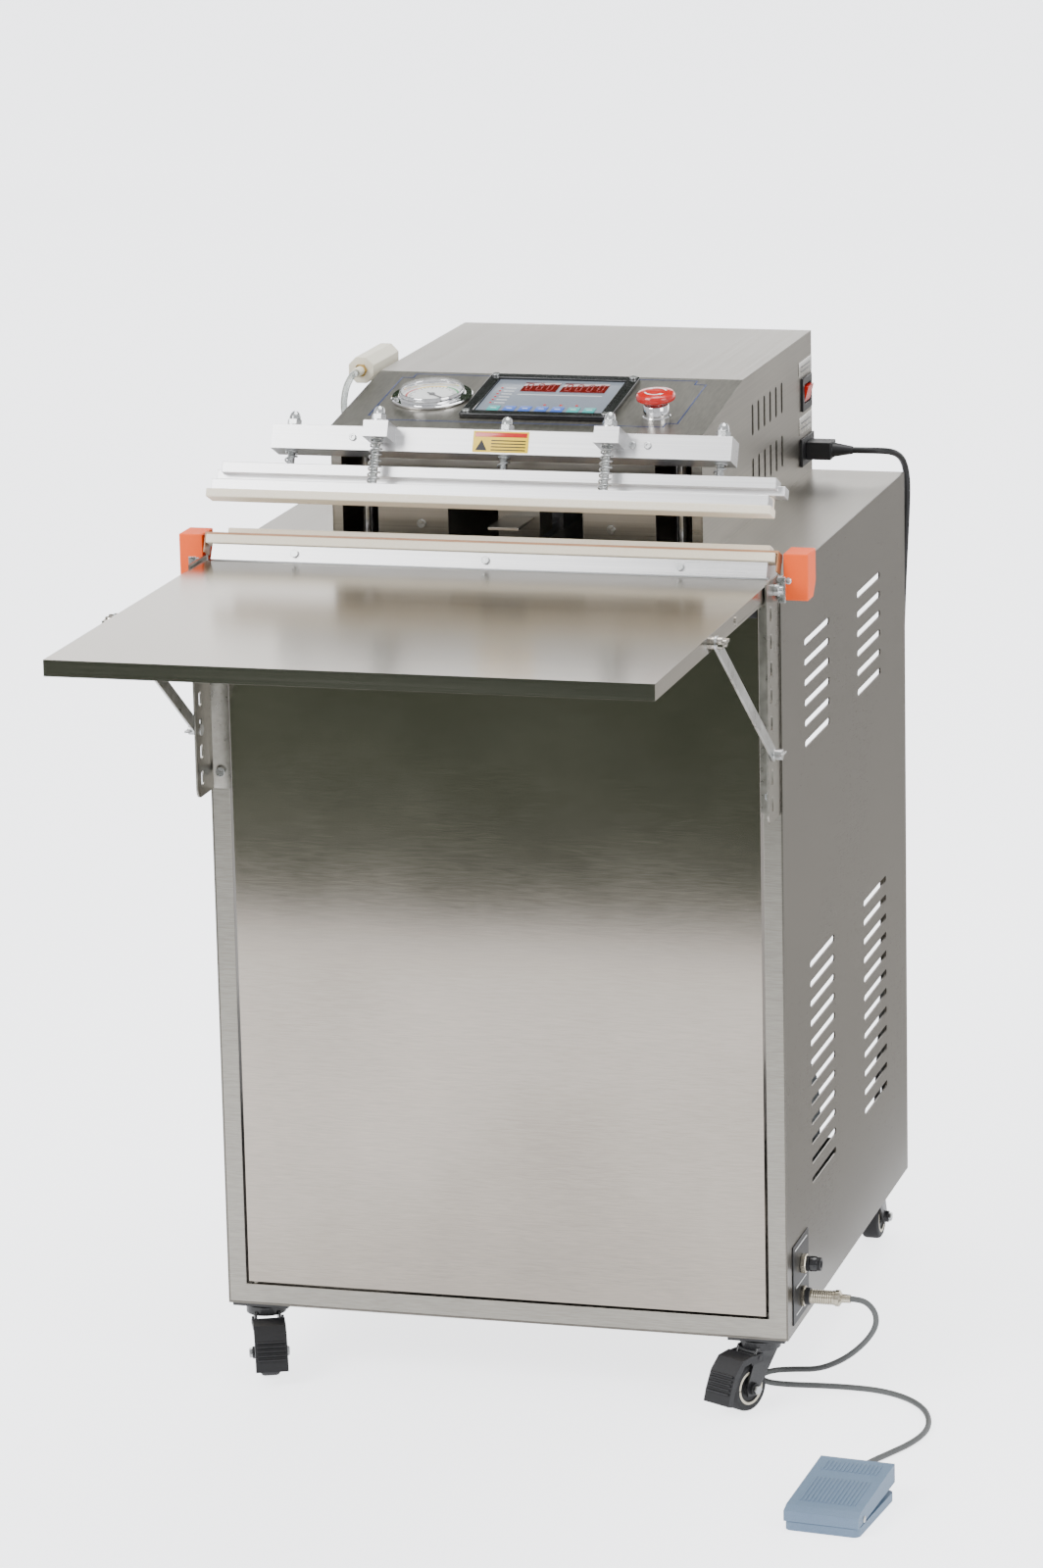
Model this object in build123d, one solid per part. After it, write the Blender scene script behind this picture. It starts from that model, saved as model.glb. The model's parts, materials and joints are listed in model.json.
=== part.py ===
"""External vacuum sealer on a wheeled cabinet: one STEP file for each separate piece.

Working frame, in millimetres: x = 0 on the cabinet's centre line, y = 0 on its front
face with +Y to the back, z = 0 on the floor. At the end every piece is moved so that
the origin is the middle of the whole machine's footprint.
"""
import os
from math import atan2, cos, degrees, hypot, pi, radians, sin, tan

from build123d import *

# ---- cabinet ----
CAB_W = 600.0
CAB_D = 600.0
CAB_Z0 = 75.0
CAB_Z1 = 865.0
SHEET = 1.5
HALF_W = CAB_W / 2
FRAME_STRIP = 20.0
DOOR_Z0 = 97.0
DOOR_Z1 = 842.0
DOOR_GAP = 3.0
DOOR_DEPTH = 16.0
DOOR_PIVOT = (-271.0, 6.0)
REAR_STRIP = 28.0
LOUVRE = (114.0, 7.0, 21.0)  # length, height, pitch
LOUVRE_GROUPS = ((162.0, 781.0, 6), (413.0, 778.0, 6), (175.0, 440.5, 12), (435.0, 437.0, 12))

# ---- head ----
HEAD_X = (-192.0, 198.0)
HEAD_XC = 3.0
HEAD_Y = (98.0, 600.0)
HEAD_BREAK_Y = 278.0
HEAD_TOP = 1018.0
SLOPE_Z = 991.0
SLOT_HALF = 165.0
SLOT_W = 38.0
NOZZLE_GAP = (-69.0, 73.0, 940.0)
GAUGE_AT = (-111.7, 99.0, 0.0)
ESTOP_AT = (139.0, 52.0, 0.0)
DISPLAY = (-66.0, 93.0, 37.0, 169.0)
FILTER_AT = (-215.0, 284.0, 1017.0)

# ---- jaws: axis leaning back by JAW_TILT, heights along it ----
JAW_TILT = 24.0
PRESS_TRAVEL = 33.0
BEAM_HALF = 240.0
BEAM_UV = (-355.2, -325.2, 911.0, 936.0)
FRONT_BAR_UV = (-385.0, -363.0, 859.7, 870.5)
FRONT_STRIP_UV = (-388.5, -366.0, 850.9, 859.7)
REAR_BAR_UV = (-357.5, -335.0, 883.5, 894.8)
REAR_FLANGE_UV = (-347.4, -329.5, 878.6, 888.5)
REAR_SEAL_UV = (-345.4, -331.5, 862.6, 878.6)
BLOCK_UV = (-384.0, -355.2, 919.0, 936.0)
REAR_BOLT_U = -341.5
FRONT_BOLT_U = -374.0
REAR_BOLT_X = (-221.0, 3.0, 227.0)
FRONT_BOLT_X = (-122.0, 118.0)
BOLT_R = 4.0
BOLT_HOLE_R = 4.3
SPRING_R = (4.9, 7.0)
LOWER_HALF = 288.5
STRIP_HALF = 295.3
POST_X = (HEAD_XC - 166.0, HEAD_XC + 166.0)
POST_Y = 128.0
POST_R = 6.0

# ---- folding table ----
TABLE_HALF = 295.0
TABLE_Y = (-486.0, -12.5)
TABLE_TOP = 870.0
TABLE_LIP = 16.0
TABLE_HINGE = (-18.0, 861.5)
STRUT_TOP = (-268.0, 861.5)
STRUT_FOOT = (-36.0, 699.0)
STRUT_X = 298.5
STRUT_T = 2.5
BRACKET_Z0 = 630.0
BRACKET_Y = -52.0
BRACKET_X = (296.3, 298.3)

# ---- casters ----
CASTER_X = 266.0
CASTER_Y = (21.0, 577.0)
TRAIL = 27.0
WHEEL_R = 25.0
WHEEL_W = 20.0
FRONT_HEADING = {"left": -68.0, "right": -118.0}
KINGPIN_R = 5.0
LEVER_PIN = (20.0, 57.0)

# ---- foot pedal ----
PEDAL_AT = (413.0, -275.0)
PEDAL_TURN = -6.0
PEDAL_W = 76.0
PEDAL_L = 112.0

# ---- cords ----
PEDAL_CORD_D = 6.0
POWER_CORD_D = 7.0
POWER_CORD_LENGTH = 1800.0
PEDAL_EXIT = (352.0, 61.0, 104.0)
POWER_EXIT = (250.0, 570.0, 893.0)
PEDAL_ROUTE = [
    (352.0, 61.0, 104.0), (363.0, 61.0, 104.0), (372.5, 61.0, 98.5), (378.0, 62.0, 89.0),
    (378.0, 64.0, 77.0), (371.0, 68.0, 63.0), (357.0, 75.0, 46.0), (337.0, 86.0, 28.0),
    (309.0, 102.0, 10.5),
    (278.0, 117.0, 3.2), (257.0, 109.0, 3.2), (247.0, 89.5, 3.2), (259.0, 72.0, 3.2),
    (282.0, 69.5, 3.2), (311.0, 73.0, 3.2), (345.0, 75.0, 3.2), (380.0, 72.0, 3.2), (411.0, 56.0, 3.2),
    (434.0, 30.0, 3.2), (447.0, -3.0, 3.2), (451.0, -38.0, 3.2), (443.0, -74.0, 3.2),
    (428.0, -106.0, 3.2), (413.0, -136.0, 3.2), (405.0, -165.0, 3.4), (404.0, -190.0, 5.5),
    (407.0, -212.5, 9.0),
]
POWER_ROUTE = [
    (250.0, 570.0, 893.0), (262.0, 570.0, 893.0), (277.0, 574.0, 892.5), (288.0, 585.0, 890.0),
    (294.0, 600.0, 884.0), (297.0, 615.0, 873.0), (298.0, 625.0, 855.0), (297.0, 630.0, 829.0),
    (295.0, 629.0, 788.0), (292.0, 630.0, 735.0), (290.0, 628.0, 672.0), (285.0, 630.0, 606.0),
    (282.0, 628.0, 536.0), (277.0, 630.0, 466.0), (274.0, 629.0, 396.0), (269.0, 631.0, 326.0),
    (266.0, 630.0, 256.0), (261.0, 633.0, 190.0), (257.0, 638.0, 132.0), (251.0, 645.0, 86.0),
    (244.0, 657.0, 51.0), (235.0, 674.0, 26.0), (221.5, 694.0, 10.0), (206.0, 712.0, 3.8),
    (191.4, 728.8, 3.8),
]
COIL_CENTRE = (150.0, 694.0)
COIL_R = (36.0, 50.5)
COIL_H = 15.0
PLUG_AT = (193.0, 723.0, 15.0)

JAW = Plane(origin=(0, 0, 0), x_dir=(1, 0, 0), z_dir=(0, sin(radians(JAW_TILT)), cos(radians(JAW_TILT))))
SLOPE_RISE = atan2(HEAD_TOP - SLOPE_Z, HEAD_BREAK_Y - HEAD_Y[0])
SLOPE = Plane(origin=(0, HEAD_Y[0], SLOPE_Z), x_dir=(1, 0, 0), z_dir=(0, -sin(SLOPE_RISE), cos(SLOPE_RISE)))
SIDES = (("left", -1), ("right", 1))


# ---- small helpers ----
def block(x0, x1, y0, y1, z0, z1):
    """A box given by its limits."""
    return Pos((x0 + x1) / 2, (y0 + y1) / 2, (z0 + z1) / 2) * Box(x1 - x0, y1 - y0, z1 - z0)


def rod(start, end, radius):
    """A solid cylinder from one point to another."""
    a, b = Vector(start), Vector(end)
    at = Plane(origin=a, z_dir=(b - a).normalized())
    return at * Cylinder(radius, (b - a).length, align=(Align.CENTER, Align.CENTER, Align.MIN))


def tube(start, end, outer, inner):
    """A hollow cylinder from one point to another."""
    return rod(start, end, outer) - rod(start, end, inner)


def jaw_bar(x0, x1, uv):
    """A bar in the leaning jaw frame: u0, u1 across it and v0, v1 along its axis."""
    u0, u1, v0, v1 = uv
    return JAW * block(x0, x1, u0, u1, v0, v1)


def jaw_point(x, u, v):
    """A point of the jaw frame in the working frame."""
    p = JAW.from_local_coords((x, u, v))
    return (p.X, p.Y, p.Z)


def jaw_yz(u, v):
    """A jaw frame point as (y, z)."""
    return jaw_point(0, u, v)[1:]


def profile_along_x(points, x0, x1):
    """A y-z outline carried along x."""
    wire = Polyline(*[(x0, y, z) for y, z in points], close=True)
    return extrude(Face(Wire(wire.edges())), amount=x1 - x0, dir=(1, 0, 0))


def slot_cut(centre, length, height, x0, x1):
    """A round-ended slot through a side wall, long in y."""
    y, z = centre
    r = height / 2
    half = length / 2 - r
    ends = rod((x0, y - half, z), (x1, y - half, z), r) + rod((x0, y + half, z), (x1, y + half, z), r)
    return ends + block(x0, x1, y - half, y + half, z - r, z + r)


def upright_slot(y, z0, z1, width, x0, x1):
    """A round-ended slot through a side wall, long in z."""
    r = width / 2
    ends = rod((x0, y, z0 + r), (x1, y, z0 + r), r) + rod((x0, y, z1 - r), (x1, y, z1 - r), r)
    return ends + block(x0, x1, y - r, y + r, z0 + r, z1 - r)


def cord_tube(route, diameter, name):
    """A tube along straight runs joined by arcs as large as the runs allow."""
    points = [Vector(*p) for p in route]
    runs = [b - a for a, b in zip(points, points[1:])]
    radii = []
    for before, after in zip(runs, runs[1:]):
        turn = radians(before.get_angle(after))
        radii.append(0.45 * min(before.length, after.length) / tan(turn / 2))
    path = FilletPolyline(*points, radius=radii)
    section = Plane(origin=points[0], z_dir=runs[0].normalized()) * Circle(diameter / 2)
    solid = sweep(section, path=path.wire())
    expected = pi * diameter**2 / 4 * path.length
    tight = sorted(round(r) for r in radii)[:5]
    print(f"{name}: length {path.length:.0f}, volume ratio {solid.volume / expected:.4f}, tightest {tight}")
    return solid, path.length


# ---- cabinet ----
def side_panel(sign):
    """One side wall with its four groups of louvre slots."""
    x0, x1 = sorted((sign * HALF_W, sign * (HALF_W - SHEET)))
    wall = block(x0, x1, 0, CAB_D, CAB_Z0, CAB_Z1)
    length, height, pitch = LOUVRE
    for y, top, count in LOUVRE_GROUPS:
        for i in range(count):
            wall -= slot_cut((y, top - i * pitch), length, height, x0 - 1, x1 + 1)
    return wall


def deck_panel():
    """The cabinet's top sheet, with holes for the two press cylinders."""
    sheet = block(-HALF_W + SHEET, HALF_W - SHEET, 0, CAB_D, CAB_Z1 - SHEET, CAB_Z1)
    for x in POST_X:
        sheet -= rod((x, POST_Y, CAB_Z1 - 5), (x, POST_Y, CAB_Z1 + 5), 10.1)
    return sheet


def base_panel():
    """The cabinet's floor sheet."""
    return block(-HALF_W + SHEET, HALF_W - SHEET, 0, CAB_D, CAB_Z0, CAB_Z0 + 2)


def front_frame():
    """The strips round the door, with ledges that carry the door's pivot pins."""
    inner = HALF_W - SHEET
    face = block(-inner, inner, 0, SHEET, CAB_Z0 + 2, CAB_Z1 - SHEET)
    face -= block(-HALF_W + FRAME_STRIP, HALF_W - FRAME_STRIP, -1, 5, DOOR_Z0, DOOR_Z1)
    span = HALF_W - FRAME_STRIP
    face += block(-span, span, 0, 20, DOOR_Z0 - SHEET, DOOR_Z0)
    face += block(-span, span, 0, 20, DOOR_Z1, DOOR_Z1 + SHEET)
    px, py = DOOR_PIVOT
    face += rod((px, py, DOOR_Z0), (px, py, DOOR_Z0 + 9), 3)
    face += rod((px, py, DOOR_Z1 - 9), (px, py, DOOR_Z1), 3)
    return face


def front_door():
    """A folded sheet door, open at its back, hung on the two pivot pins."""
    x = HALF_W - FRAME_STRIP - DOOR_GAP
    z0, z1 = DOOR_Z0 + DOOR_GAP, DOOR_Z1 - DOOR_GAP
    door = block(-x, x, 0, DOOR_DEPTH, z0, z1)
    door -= block(-x + SHEET, x - SHEET, SHEET, DOOR_DEPTH + 1, z0 + SHEET, z1 - SHEET)
    px, py = DOOR_PIVOT
    for z in (z0, z1 - SHEET):
        door -= rod((px, py, z - 1), (px, py, z + SHEET + 1), 3.06)
    return door


def rear_frame():
    """The strips round the open back of the cabinet."""
    inner = HALF_W - SHEET
    face = block(-inner, inner, CAB_D - SHEET, CAB_D, CAB_Z0 + 2, CAB_Z1 - SHEET)
    face -= block(-inner + REAR_STRIP, inner - REAR_STRIP, CAB_D - 5, CAB_D + 5, CAB_Z0 + 30, CAB_Z1 - 30)
    return face


def slotted_brackets():
    """Two angle brackets with adjusting slots, one at each front corner."""
    pair = []
    for _, sign in SIDES:
        x0, x1 = sorted((sign * BRACKET_X[0], sign * BRACKET_X[1]))
        flange = block(x0, x1, BRACKET_Y, -0.1, BRACKET_Z0, CAB_Z1 + 8)
        lower = [e for e in flange.edges().filter_by(Axis.X) if e.center().Y < -40 and e.center().Z < 700]
        flange = fillet(lower, 10)
        for i in range(8):
            z = 841.0 - i * 27.5
            flange -= upright_slot(-36.0, z - 8, z + 8, 7.0, x0 - 1, x1 + 1)
        flange -= rod((x0 - 1, *TABLE_HINGE), (x1 + 1, *TABLE_HINGE), 4.05)
        foot = sorted((sign * BRACKET_X[1], sign * 278.0))
        flange += block(foot[0], foot[1], -2.1, -0.1, BRACKET_Z0, CAB_Z1 - 25)
        pair.append(flange)
    return pair


# ---- head ----
def head_shell():
    """The folded cover of the control box, open below and at its front, with vents and cut-outs."""
    x0, x1 = HEAD_X
    y0, y1 = HEAD_Y
    outline = [(y0, CAB_Z1), (y0, SLOPE_Z), (HEAD_BREAK_Y, HEAD_TOP), (y1, HEAD_TOP), (y1, CAB_Z1)]
    inner = [
        (y0 - 5, CAB_Z1 - 5), (y0 - 5, SLOPE_Z - SHEET - 0.75), (y0, SLOPE_Z - SHEET),
        (HEAD_BREAK_Y, HEAD_TOP - SHEET), (y1 - SHEET, HEAD_TOP - SHEET), (y1 - SHEET, CAB_Z1 - 5),
    ]
    shell = profile_along_x(outline, x0, x1) - profile_along_x(inner, x0 + SHEET, x1 - SHEET)
    for i in range(6):
        y = 320.5 + 27.0 * i
        for z0, z1 in ((952.0, 985.0), (894.0, 928.0)):
            for wall in (x0, x1):
                shell -= upright_slot(y, z0, z1, 7.5, wall - 3, wall + 3)
    fx, fy, fz = FILTER_AT
    shell -= rod((x0 - 3, fy - 8, fz - 69), (x0 + 5, fy - 8, fz - 69), 8)
    shell -= block(x1 - 3, x1 + 3, 551.5, 588.5, 940.5, 969.5)
    shell -= block(x1 - 3, x1 + 3, 552, 588, 881, 905)
    shell -= SLOPE * (Pos(*GAUGE_AT) * Cylinder(31, 20))
    shell -= SLOPE * block(-52, 78, 54, 152, -10, 10)
    shell -= SLOPE * (Pos(*ESTOP_AT) * Cylinder(11.2, 20))
    return shell


def head_front_plate():
    """The upright plate under the slope, with a slot for each press arm and the nozzle opening."""
    x0, x1 = HEAD_X[0] + SHEET, HEAD_X[1] - SHEET
    plate = block(x0, x1, HEAD_Y[0], HEAD_Y[0] + SHEET, CAB_Z1, SLOPE_Z - 2)
    for sign in (-1, 1):
        x = HEAD_XC + sign * SLOT_HALF
        plate -= block(x - SLOT_W / 2, x + SLOT_W / 2, HEAD_Y[0] - 1, HEAD_Y[0] + 3, CAB_Z1 + 3, SLOPE_Z - 6)
    left, right, top = NOZZLE_GAP
    plate -= block(left, right, HEAD_Y[0] - 1, HEAD_Y[0] + 3, CAB_Z1 + 3, top)
    return plate


def on_slope(solid, at):
    """A solid built at the origin, set on the sloped panel at a point of it."""
    return SLOPE * (Pos(*at) * solid)


def gauge_case():
    """A panel gauge: flange and bezel above the sheet, drum and stem below, a spindle for the needle."""
    lift = (Align.CENTER, Align.CENTER, Align.MIN)
    drop = (Align.CENTER, Align.CENTER, Align.MAX)
    case = Cylinder(42.5, 3.5, align=lift) + Cylinder(34, 9, align=lift)
    case -= Pos(0, 0, 3) * Cylinder(31.5, 10, align=lift)
    case += Cylinder(30.5, 26, align=drop)
    case += Pos(0, 0, -26) * Cylinder(6, 16, align=drop)
    case += Pos(0, 0, 3) * Cylinder(1.2, 2.4, align=lift)
    return on_slope(case, GAUGE_AT)


def gauge_lens():
    """The clear domed cover of the gauge, seated on the bezel."""
    lift = (Align.CENTER, Align.CENTER, Align.MIN)
    dome = Cylinder(33.5, 4.5, align=lift) - Cylinder(31, 3, align=lift)
    dome = fillet(dome.edges().sort_by(Axis.Z)[-1:], 3)
    return on_slope(Pos(0, 0, 9) * dome, GAUGE_AT)


def gauge_needle():
    """The gauge's pointer with its hub turning on the spindle."""
    lift = (Align.CENTER, Align.CENTER, Align.MIN)
    hub = Pos(0, 0, 3.6) * Cylinder(3, 1.2, align=lift)
    hub += Pos(0, 0, 3.6) * block(-0.9, 0.9, -24, 8, 0, 0.6)
    hub -= Cylinder(1.26, 12, align=lift)
    return on_slope(Rot(0, 0, 50) * hub, GAUGE_AT)


def display_unit():
    """The controller: a raised black frame and the keypad sheet inside it."""
    x0, x1, s0, s1 = DISPLAY
    frame = block(x0, x1, s0, s1, 0, 5)
    frame = fillet(frame.edges().filter_by(Axis.Z), 3)
    frame -= block(x0 + 12, x1 - 12, s0 + 13, s1 - 13, -1, 6)
    body = block(-50, 76, 56, 150, -28, 0)
    keypad = block(x0 + 12, x1 - 12, s0 + 13, s1 - 13, 0, 2.5)
    return [SLOPE * frame, SLOPE * (keypad + body)]


def estop_collar():
    """The switch barrel: a round collar above the panel and the contact block below."""
    collar = tube((0, 0, 0), (0, 0, 15), 14.5, 6.1)
    collar += tube((0, 0, -12), (0, 0, 0), 11, 6.1)
    collar += block(-15, 15, -12, 12, -46, -12)
    return on_slope(collar, ESTOP_AT)


def estop_head():
    """The mushroom push button on its stem."""
    cap = Pos(0, 0, 20) * Cylinder(20, 9, align=(Align.CENTER, Align.CENTER, Align.MIN))
    cap = fillet(cap.edges().sort_by(Axis.Z)[-1:], 5)
    cap = fillet(cap.edges().sort_by(Axis.Z)[:1], 2)
    return on_slope(cap + rod((0, 0, -6), (0, 0, 21), 6), ESTOP_AT)


def switch_and_inlet():
    """The rocker switch's bezel and the mains inlet, one above the other on the head's side."""
    x = HEAD_X[1]
    bezel = block(x, x + 2.5, 548, 592, 937, 973) + block(x - 22, x, 552, 588, 941, 969)
    bezel -= block(x - 14, x + 5, 555.5, 584.5, 944.5, 965.5)
    inlet = block(x, x + 3, 540, 598, 878, 908) + block(x - 30, x, 552.5, 587.5, 881.5, 904.5)
    inlet -= block(x - 18, x + 5, 558, 582, 885, 901)
    return [bezel, inlet]


def rocker_switch():
    """The rocker, a bar with two faces that tilts on a cross pin."""
    x = HEAD_X[1]
    face = [(x - 5, 946.5), (x + 2.0, 946.5), (x + 4.2, 955), (x + 6.5, 963.5), (x - 5, 963.5)]
    wire = Polyline(*[(px, 557, pz) for px, pz in face], close=True)
    bar = extrude(Face(Wire(wire.edges())), amount=26, dir=(0, 1, 0))
    return bar + rod((x - 4, 555.6, 955), (x - 4, 584.4, 955), 1.5)


# ---- press ----
def press_beam():
    """The pressing beam with the two blocks that carry the front jaw's bolts."""
    beam = jaw_bar(-BEAM_HALF, BEAM_HALF, BEAM_UV)
    for x in REAR_BOLT_X:
        beam -= rod(jaw_point(x, REAR_BOLT_U, 900), jaw_point(x, REAR_BOLT_U, 950), BOLT_HOLE_R)
    pieces = [beam]
    for x in FRONT_BOLT_X:
        solid = jaw_bar(x - 13, x + 13, BLOCK_UV)
        solid -= rod(jaw_point(x, FRONT_BOLT_U, 900), jaw_point(x, FRONT_BOLT_U, 950), BOLT_HOLE_R)
        pieces.append(solid)
    return pieces


def press_rods():
    """Two chromed rods, each with a bush and an arm that reaches the beam's back."""
    behind = jaw_bar(-400, 400, (BEAM_UV[1] - 200, BEAM_UV[1], 700, 1200))
    pieces = []
    for x in POST_X:
        solid = rod((x, POST_Y, 720), (x, POST_Y, 986), POST_R)
        solid += rod((x, POST_Y, 957), (x, POST_Y, 985), 12)
        solid += block(x - 9, x + 9, 60, POST_Y, 965, 981) - behind
        pieces.append(solid)
    return pieces


def air_cylinders():
    """Two upright press cylinders under the deck and the nozzle's small cylinder with its rail."""
    pieces = []
    for x in POST_X:
        body = rod((x, POST_Y, 680), (x, POST_Y, CAB_Z1 - SHEET), 20)
        body += rod((x, POST_Y, CAB_Z1 - SHEET), (x, POST_Y, CAB_Z1 + 6), 10)
        body -= rod((x, POST_Y, 684), (x, POST_Y, CAB_Z1 + 10), POST_R + 0.06)
        pieces.append(body)
    rail = block(-11, 15, 106, 225, CAB_Z1, CAB_Z1 + 12)
    barrel = block(-14, 18, 225, 375, CAB_Z1, CAB_Z1 + 50)
    barrel -= rod((2, 220, 899), (2, 368, 899), 4.06)
    pieces.append(rail + barrel)
    return pieces


def jaw_bolts(xs, u, foot, nut):
    """Bolts standing on a jaw bar, each with a domed nut above the beam."""
    pieces = []
    for x in xs:
        solid = rod(jaw_point(x, u, foot), jaw_point(x, u, nut), BOLT_R)
        solid += rod(jaw_point(x, u, nut), jaw_point(x, u, nut + 3), 8.5)
        cap = JAW * (Pos(x, u, nut + 3) * extrude(RegularPolygon(6.6, 6), 7))
        dome = rod(jaw_point(x, u, nut + 10), jaw_point(x, u, nut + 17), 4.6)
        pieces.append(solid + cap + dome)
    return pieces


def jaw_springs(xs, u, low, high):
    """A plain sleeve in place of each coil spring."""
    return [tube(jaw_point(x, u, low), jaw_point(x, u, high), SPRING_R[1], SPRING_R[0]) for x in xs]


def rear_jaw_bar():
    """The rear jaw: a bar with a wider foot under it."""
    bar = jaw_bar(-LOWER_HALF, LOWER_HALF, REAR_BAR_UV)
    return bar + jaw_bar(-296, 296, REAR_FLANGE_UV)


def rear_jaw_seal():
    """The sponge seal under the rear jaw, split in the middle for the nozzle."""
    return [jaw_bar(-283, HEAD_XC - 25, REAR_SEAL_UV), jaw_bar(HEAD_XC + 25, 283, REAR_SEAL_UV)]


def lower_jaw():
    """The fixed lower jaw profile: a front seat for the heater and a lower seat for the seal."""
    top, seat = 808.2, 816.0
    points = [
        (0, CAB_Z1), (0, 870.8), (-11.5, 870.8), jaw_yz(-363, top), jaw_yz(-344, top),
        jaw_yz(-337, seat), jaw_yz(-314, seat), (50, 871.5), (50, CAB_Z1),
    ]
    return profile_along_x(points, -LOWER_HALF, LOWER_HALF)


def lower_jaw_seals():
    """The cream strip on the front seat and the seal on the rear seat."""
    strip = jaw_bar(-STRIP_HALF, STRIP_HALF, (-366.0, -346.0, 808.2, 817.2))
    seal = jaw_bar(-283, 283, (-334.5, -317.0, 816.0, 831.3))
    return [strip, seal]


def heater_cover():
    """The brown cloth over the heater, with a skirt at the back and tabs over the ends."""
    cover = jaw_bar(-298, 298, (-362.0, -342.5, 817.2, 820.2))
    cover += jaw_bar(-298, 298, (-344.0, -342.5, 811.0, 817.2))
    for x0 in (-298.0, 296.5):
        cover += jaw_bar(x0, x0 + 1.5, (-362.0, -344.0, 799.0, 817.2))
    return cover


def end_caps():
    """Two moulded covers over the lower jaw's ends, hollow and open on the inner side."""
    pieces = []
    outline = [(5, 846), (5, 893), (40, 893), (40, 860), (28, 846)]
    hollow = [(7, 848), (7, 891), (38, 891), (38, 861), (27, 848)]
    for _, sign in SIDES:
        x0, x1 = sorted((sign * 302.0, sign * 327.0))
        h0, h1 = sorted((sign * 301.0, sign * 325.0))
        pieces.append(profile_along_x(outline, x0, x1) - profile_along_x(hollow, h0, h1))
    return pieces


def machine_screws():
    """All fixed screws, bolts and wing bolts of the cabinet and head, as one group."""
    pieces = []
    low, high = Vector(0, -11.5, 870.8), Vector(*jaw_point(0, -363, 808.2))
    axis = (high - low).normalized().cross(Vector(-1, 0, 0))
    for x in (-200.0, 0.0, 200.0):
        seat = (low + high) * 0.5 + Vector(x, 0, 0) + axis * 0.02
        pieces.append(rod(seat, seat + axis * 2.6, 4))
    for x in (HEAD_XC - 100, HEAD_XC + 100):
        pieces.append(rod((x, HEAD_Y[0], 893), (x, HEAD_Y[0] - 2.6, 893), 4.5))
    x0, x1, s0, s1 = DISPLAY
    corners = [(x0 + 6, s0 + 7), (x1 - 6, s0 + 7), (x0 + 6, s1 - 7), (x1 - 6, s1 - 7)]
    for x, s in corners:
        pieces.append(on_slope(rod((0, 0, 5), (0, 0, 7), 4), (x, s, 0)))
    for turn in (90, 210, 330):
        x = GAUGE_AT[0] + 38.3 * cos(radians(turn))
        s = GAUGE_AT[1] + 38.3 * sin(radians(turn))
        pieces.append(on_slope(rod((0, 0, 3.5), (0, 0, 5.5), 3), (x, s, 0)))
    for _, sign in SIDES:
        inner = sign * (BRACKET_X[0] - 1.1)
        y, z = STRUT_FOOT
        shank = rod((inner, y, z), (sign * STRUT_X, y, z), 3.4)
        pieces.append(shank + rod((inner, y, z), (sign * BRACKET_X[0], y, z), 6))
        pieces.append(wing_bolt(sign, TABLE_HINGE, TABLE_HALF - 6, BRACKET_X[1], 4.0))
        pieces.append(rod((sign * 288, -2.1, 648), (sign * 288, -6, 648), 5))
        end = sorted((sign * HALF_W, sign * (HALF_W + 2)))
        pieces.append(block(*end, -6, 16, 849, 871))
    return pieces


def wing_bolt(sign, at, x_in, x_seat, radius):
    """A bolt along x with a flat washer and a wing nut on its outer end."""
    y, z = at
    solid = rod((sign * x_in, y, z), (sign * (x_seat + 9), y, z), radius)
    solid += rod((sign * x_seat, y, z), (sign * (x_seat + 5), y, z), 6)
    wings = sorted((sign * (x_seat + 3), sign * (x_seat + 11)))
    solid += block(*wings, y - 1, y + 1, z - 13, z + 13)
    return solid


def filter_block():
    """The vacuum filter beside the head: an eight-sided body, a bracket and a brass nipple."""
    body = extrude(Plane.XZ * RegularPolygon(15.0, 8, rotation=22.5), amount=-92)
    x, y, z = FILTER_AT
    body = Pos(x, y, z) * body
    foot = block(x, HEAD_X[0], y + 55, y + 79, 960, 963)
    foot += block(HEAD_X[0] - 1.9, HEAD_X[0], y + 55, y + 79, 925, 960)
    stem = block(x - 4, x + 4, y + 62, y + 72, 963, z - 12)
    nipple = rod((x, y, z), (x, y - 18, z), 5)
    return [body + foot + stem, nipple]


def filter_tube():
    """The clear tube from the nipple down and back into the head's side."""
    x, y, z = FILTER_AT
    route = [
        (x, y - 18, z), (x, y - 33, z), (x - 3, y - 45, z - 10), (x - 5, y - 50, z - 28),
        (x - 4, y - 46, z - 46), (x, y - 34, z - 60), (x + 10, y - 19, z - 67), (x + 22, y - 8, z - 69),
        (x + 36, y + 1, z - 69),
    ]
    return cord_tube(route, 7.0, "filter_tube")[0]


def port_plate():
    """The label plate low on the right side, with the air inlet fitting and the pedal socket."""
    x = HALF_W
    plate = block(x, x + 1.2, 22, 92, 84, 168)
    fitting = rod((x + 1.2, 59, 140), (x + 10, 59, 140), 8)
    fitting += tube((x + 10, 59, 140), (x + 22, 59, 140), 7, 4.05)
    fitting -= rod((x + 3, 59, 140), (x + 23, 59, 140), 4.05)
    socket = rod((x + 1.2, 61, 104), (x + 10, 61, 104), 9)
    return [plate, fitting, socket]


def vacuum_pump():
    """The pump and its motor on the cabinet floor."""
    z = CAB_Z0 + 2
    pump = block(-190, -10, 300, 480, z, z + 190)
    motor = rod((-10, 390, z + 95), (230, 390, z + 95), 80) + block(60, 160, 330, 450, z, z + 40)
    return [pump, motor]


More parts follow.
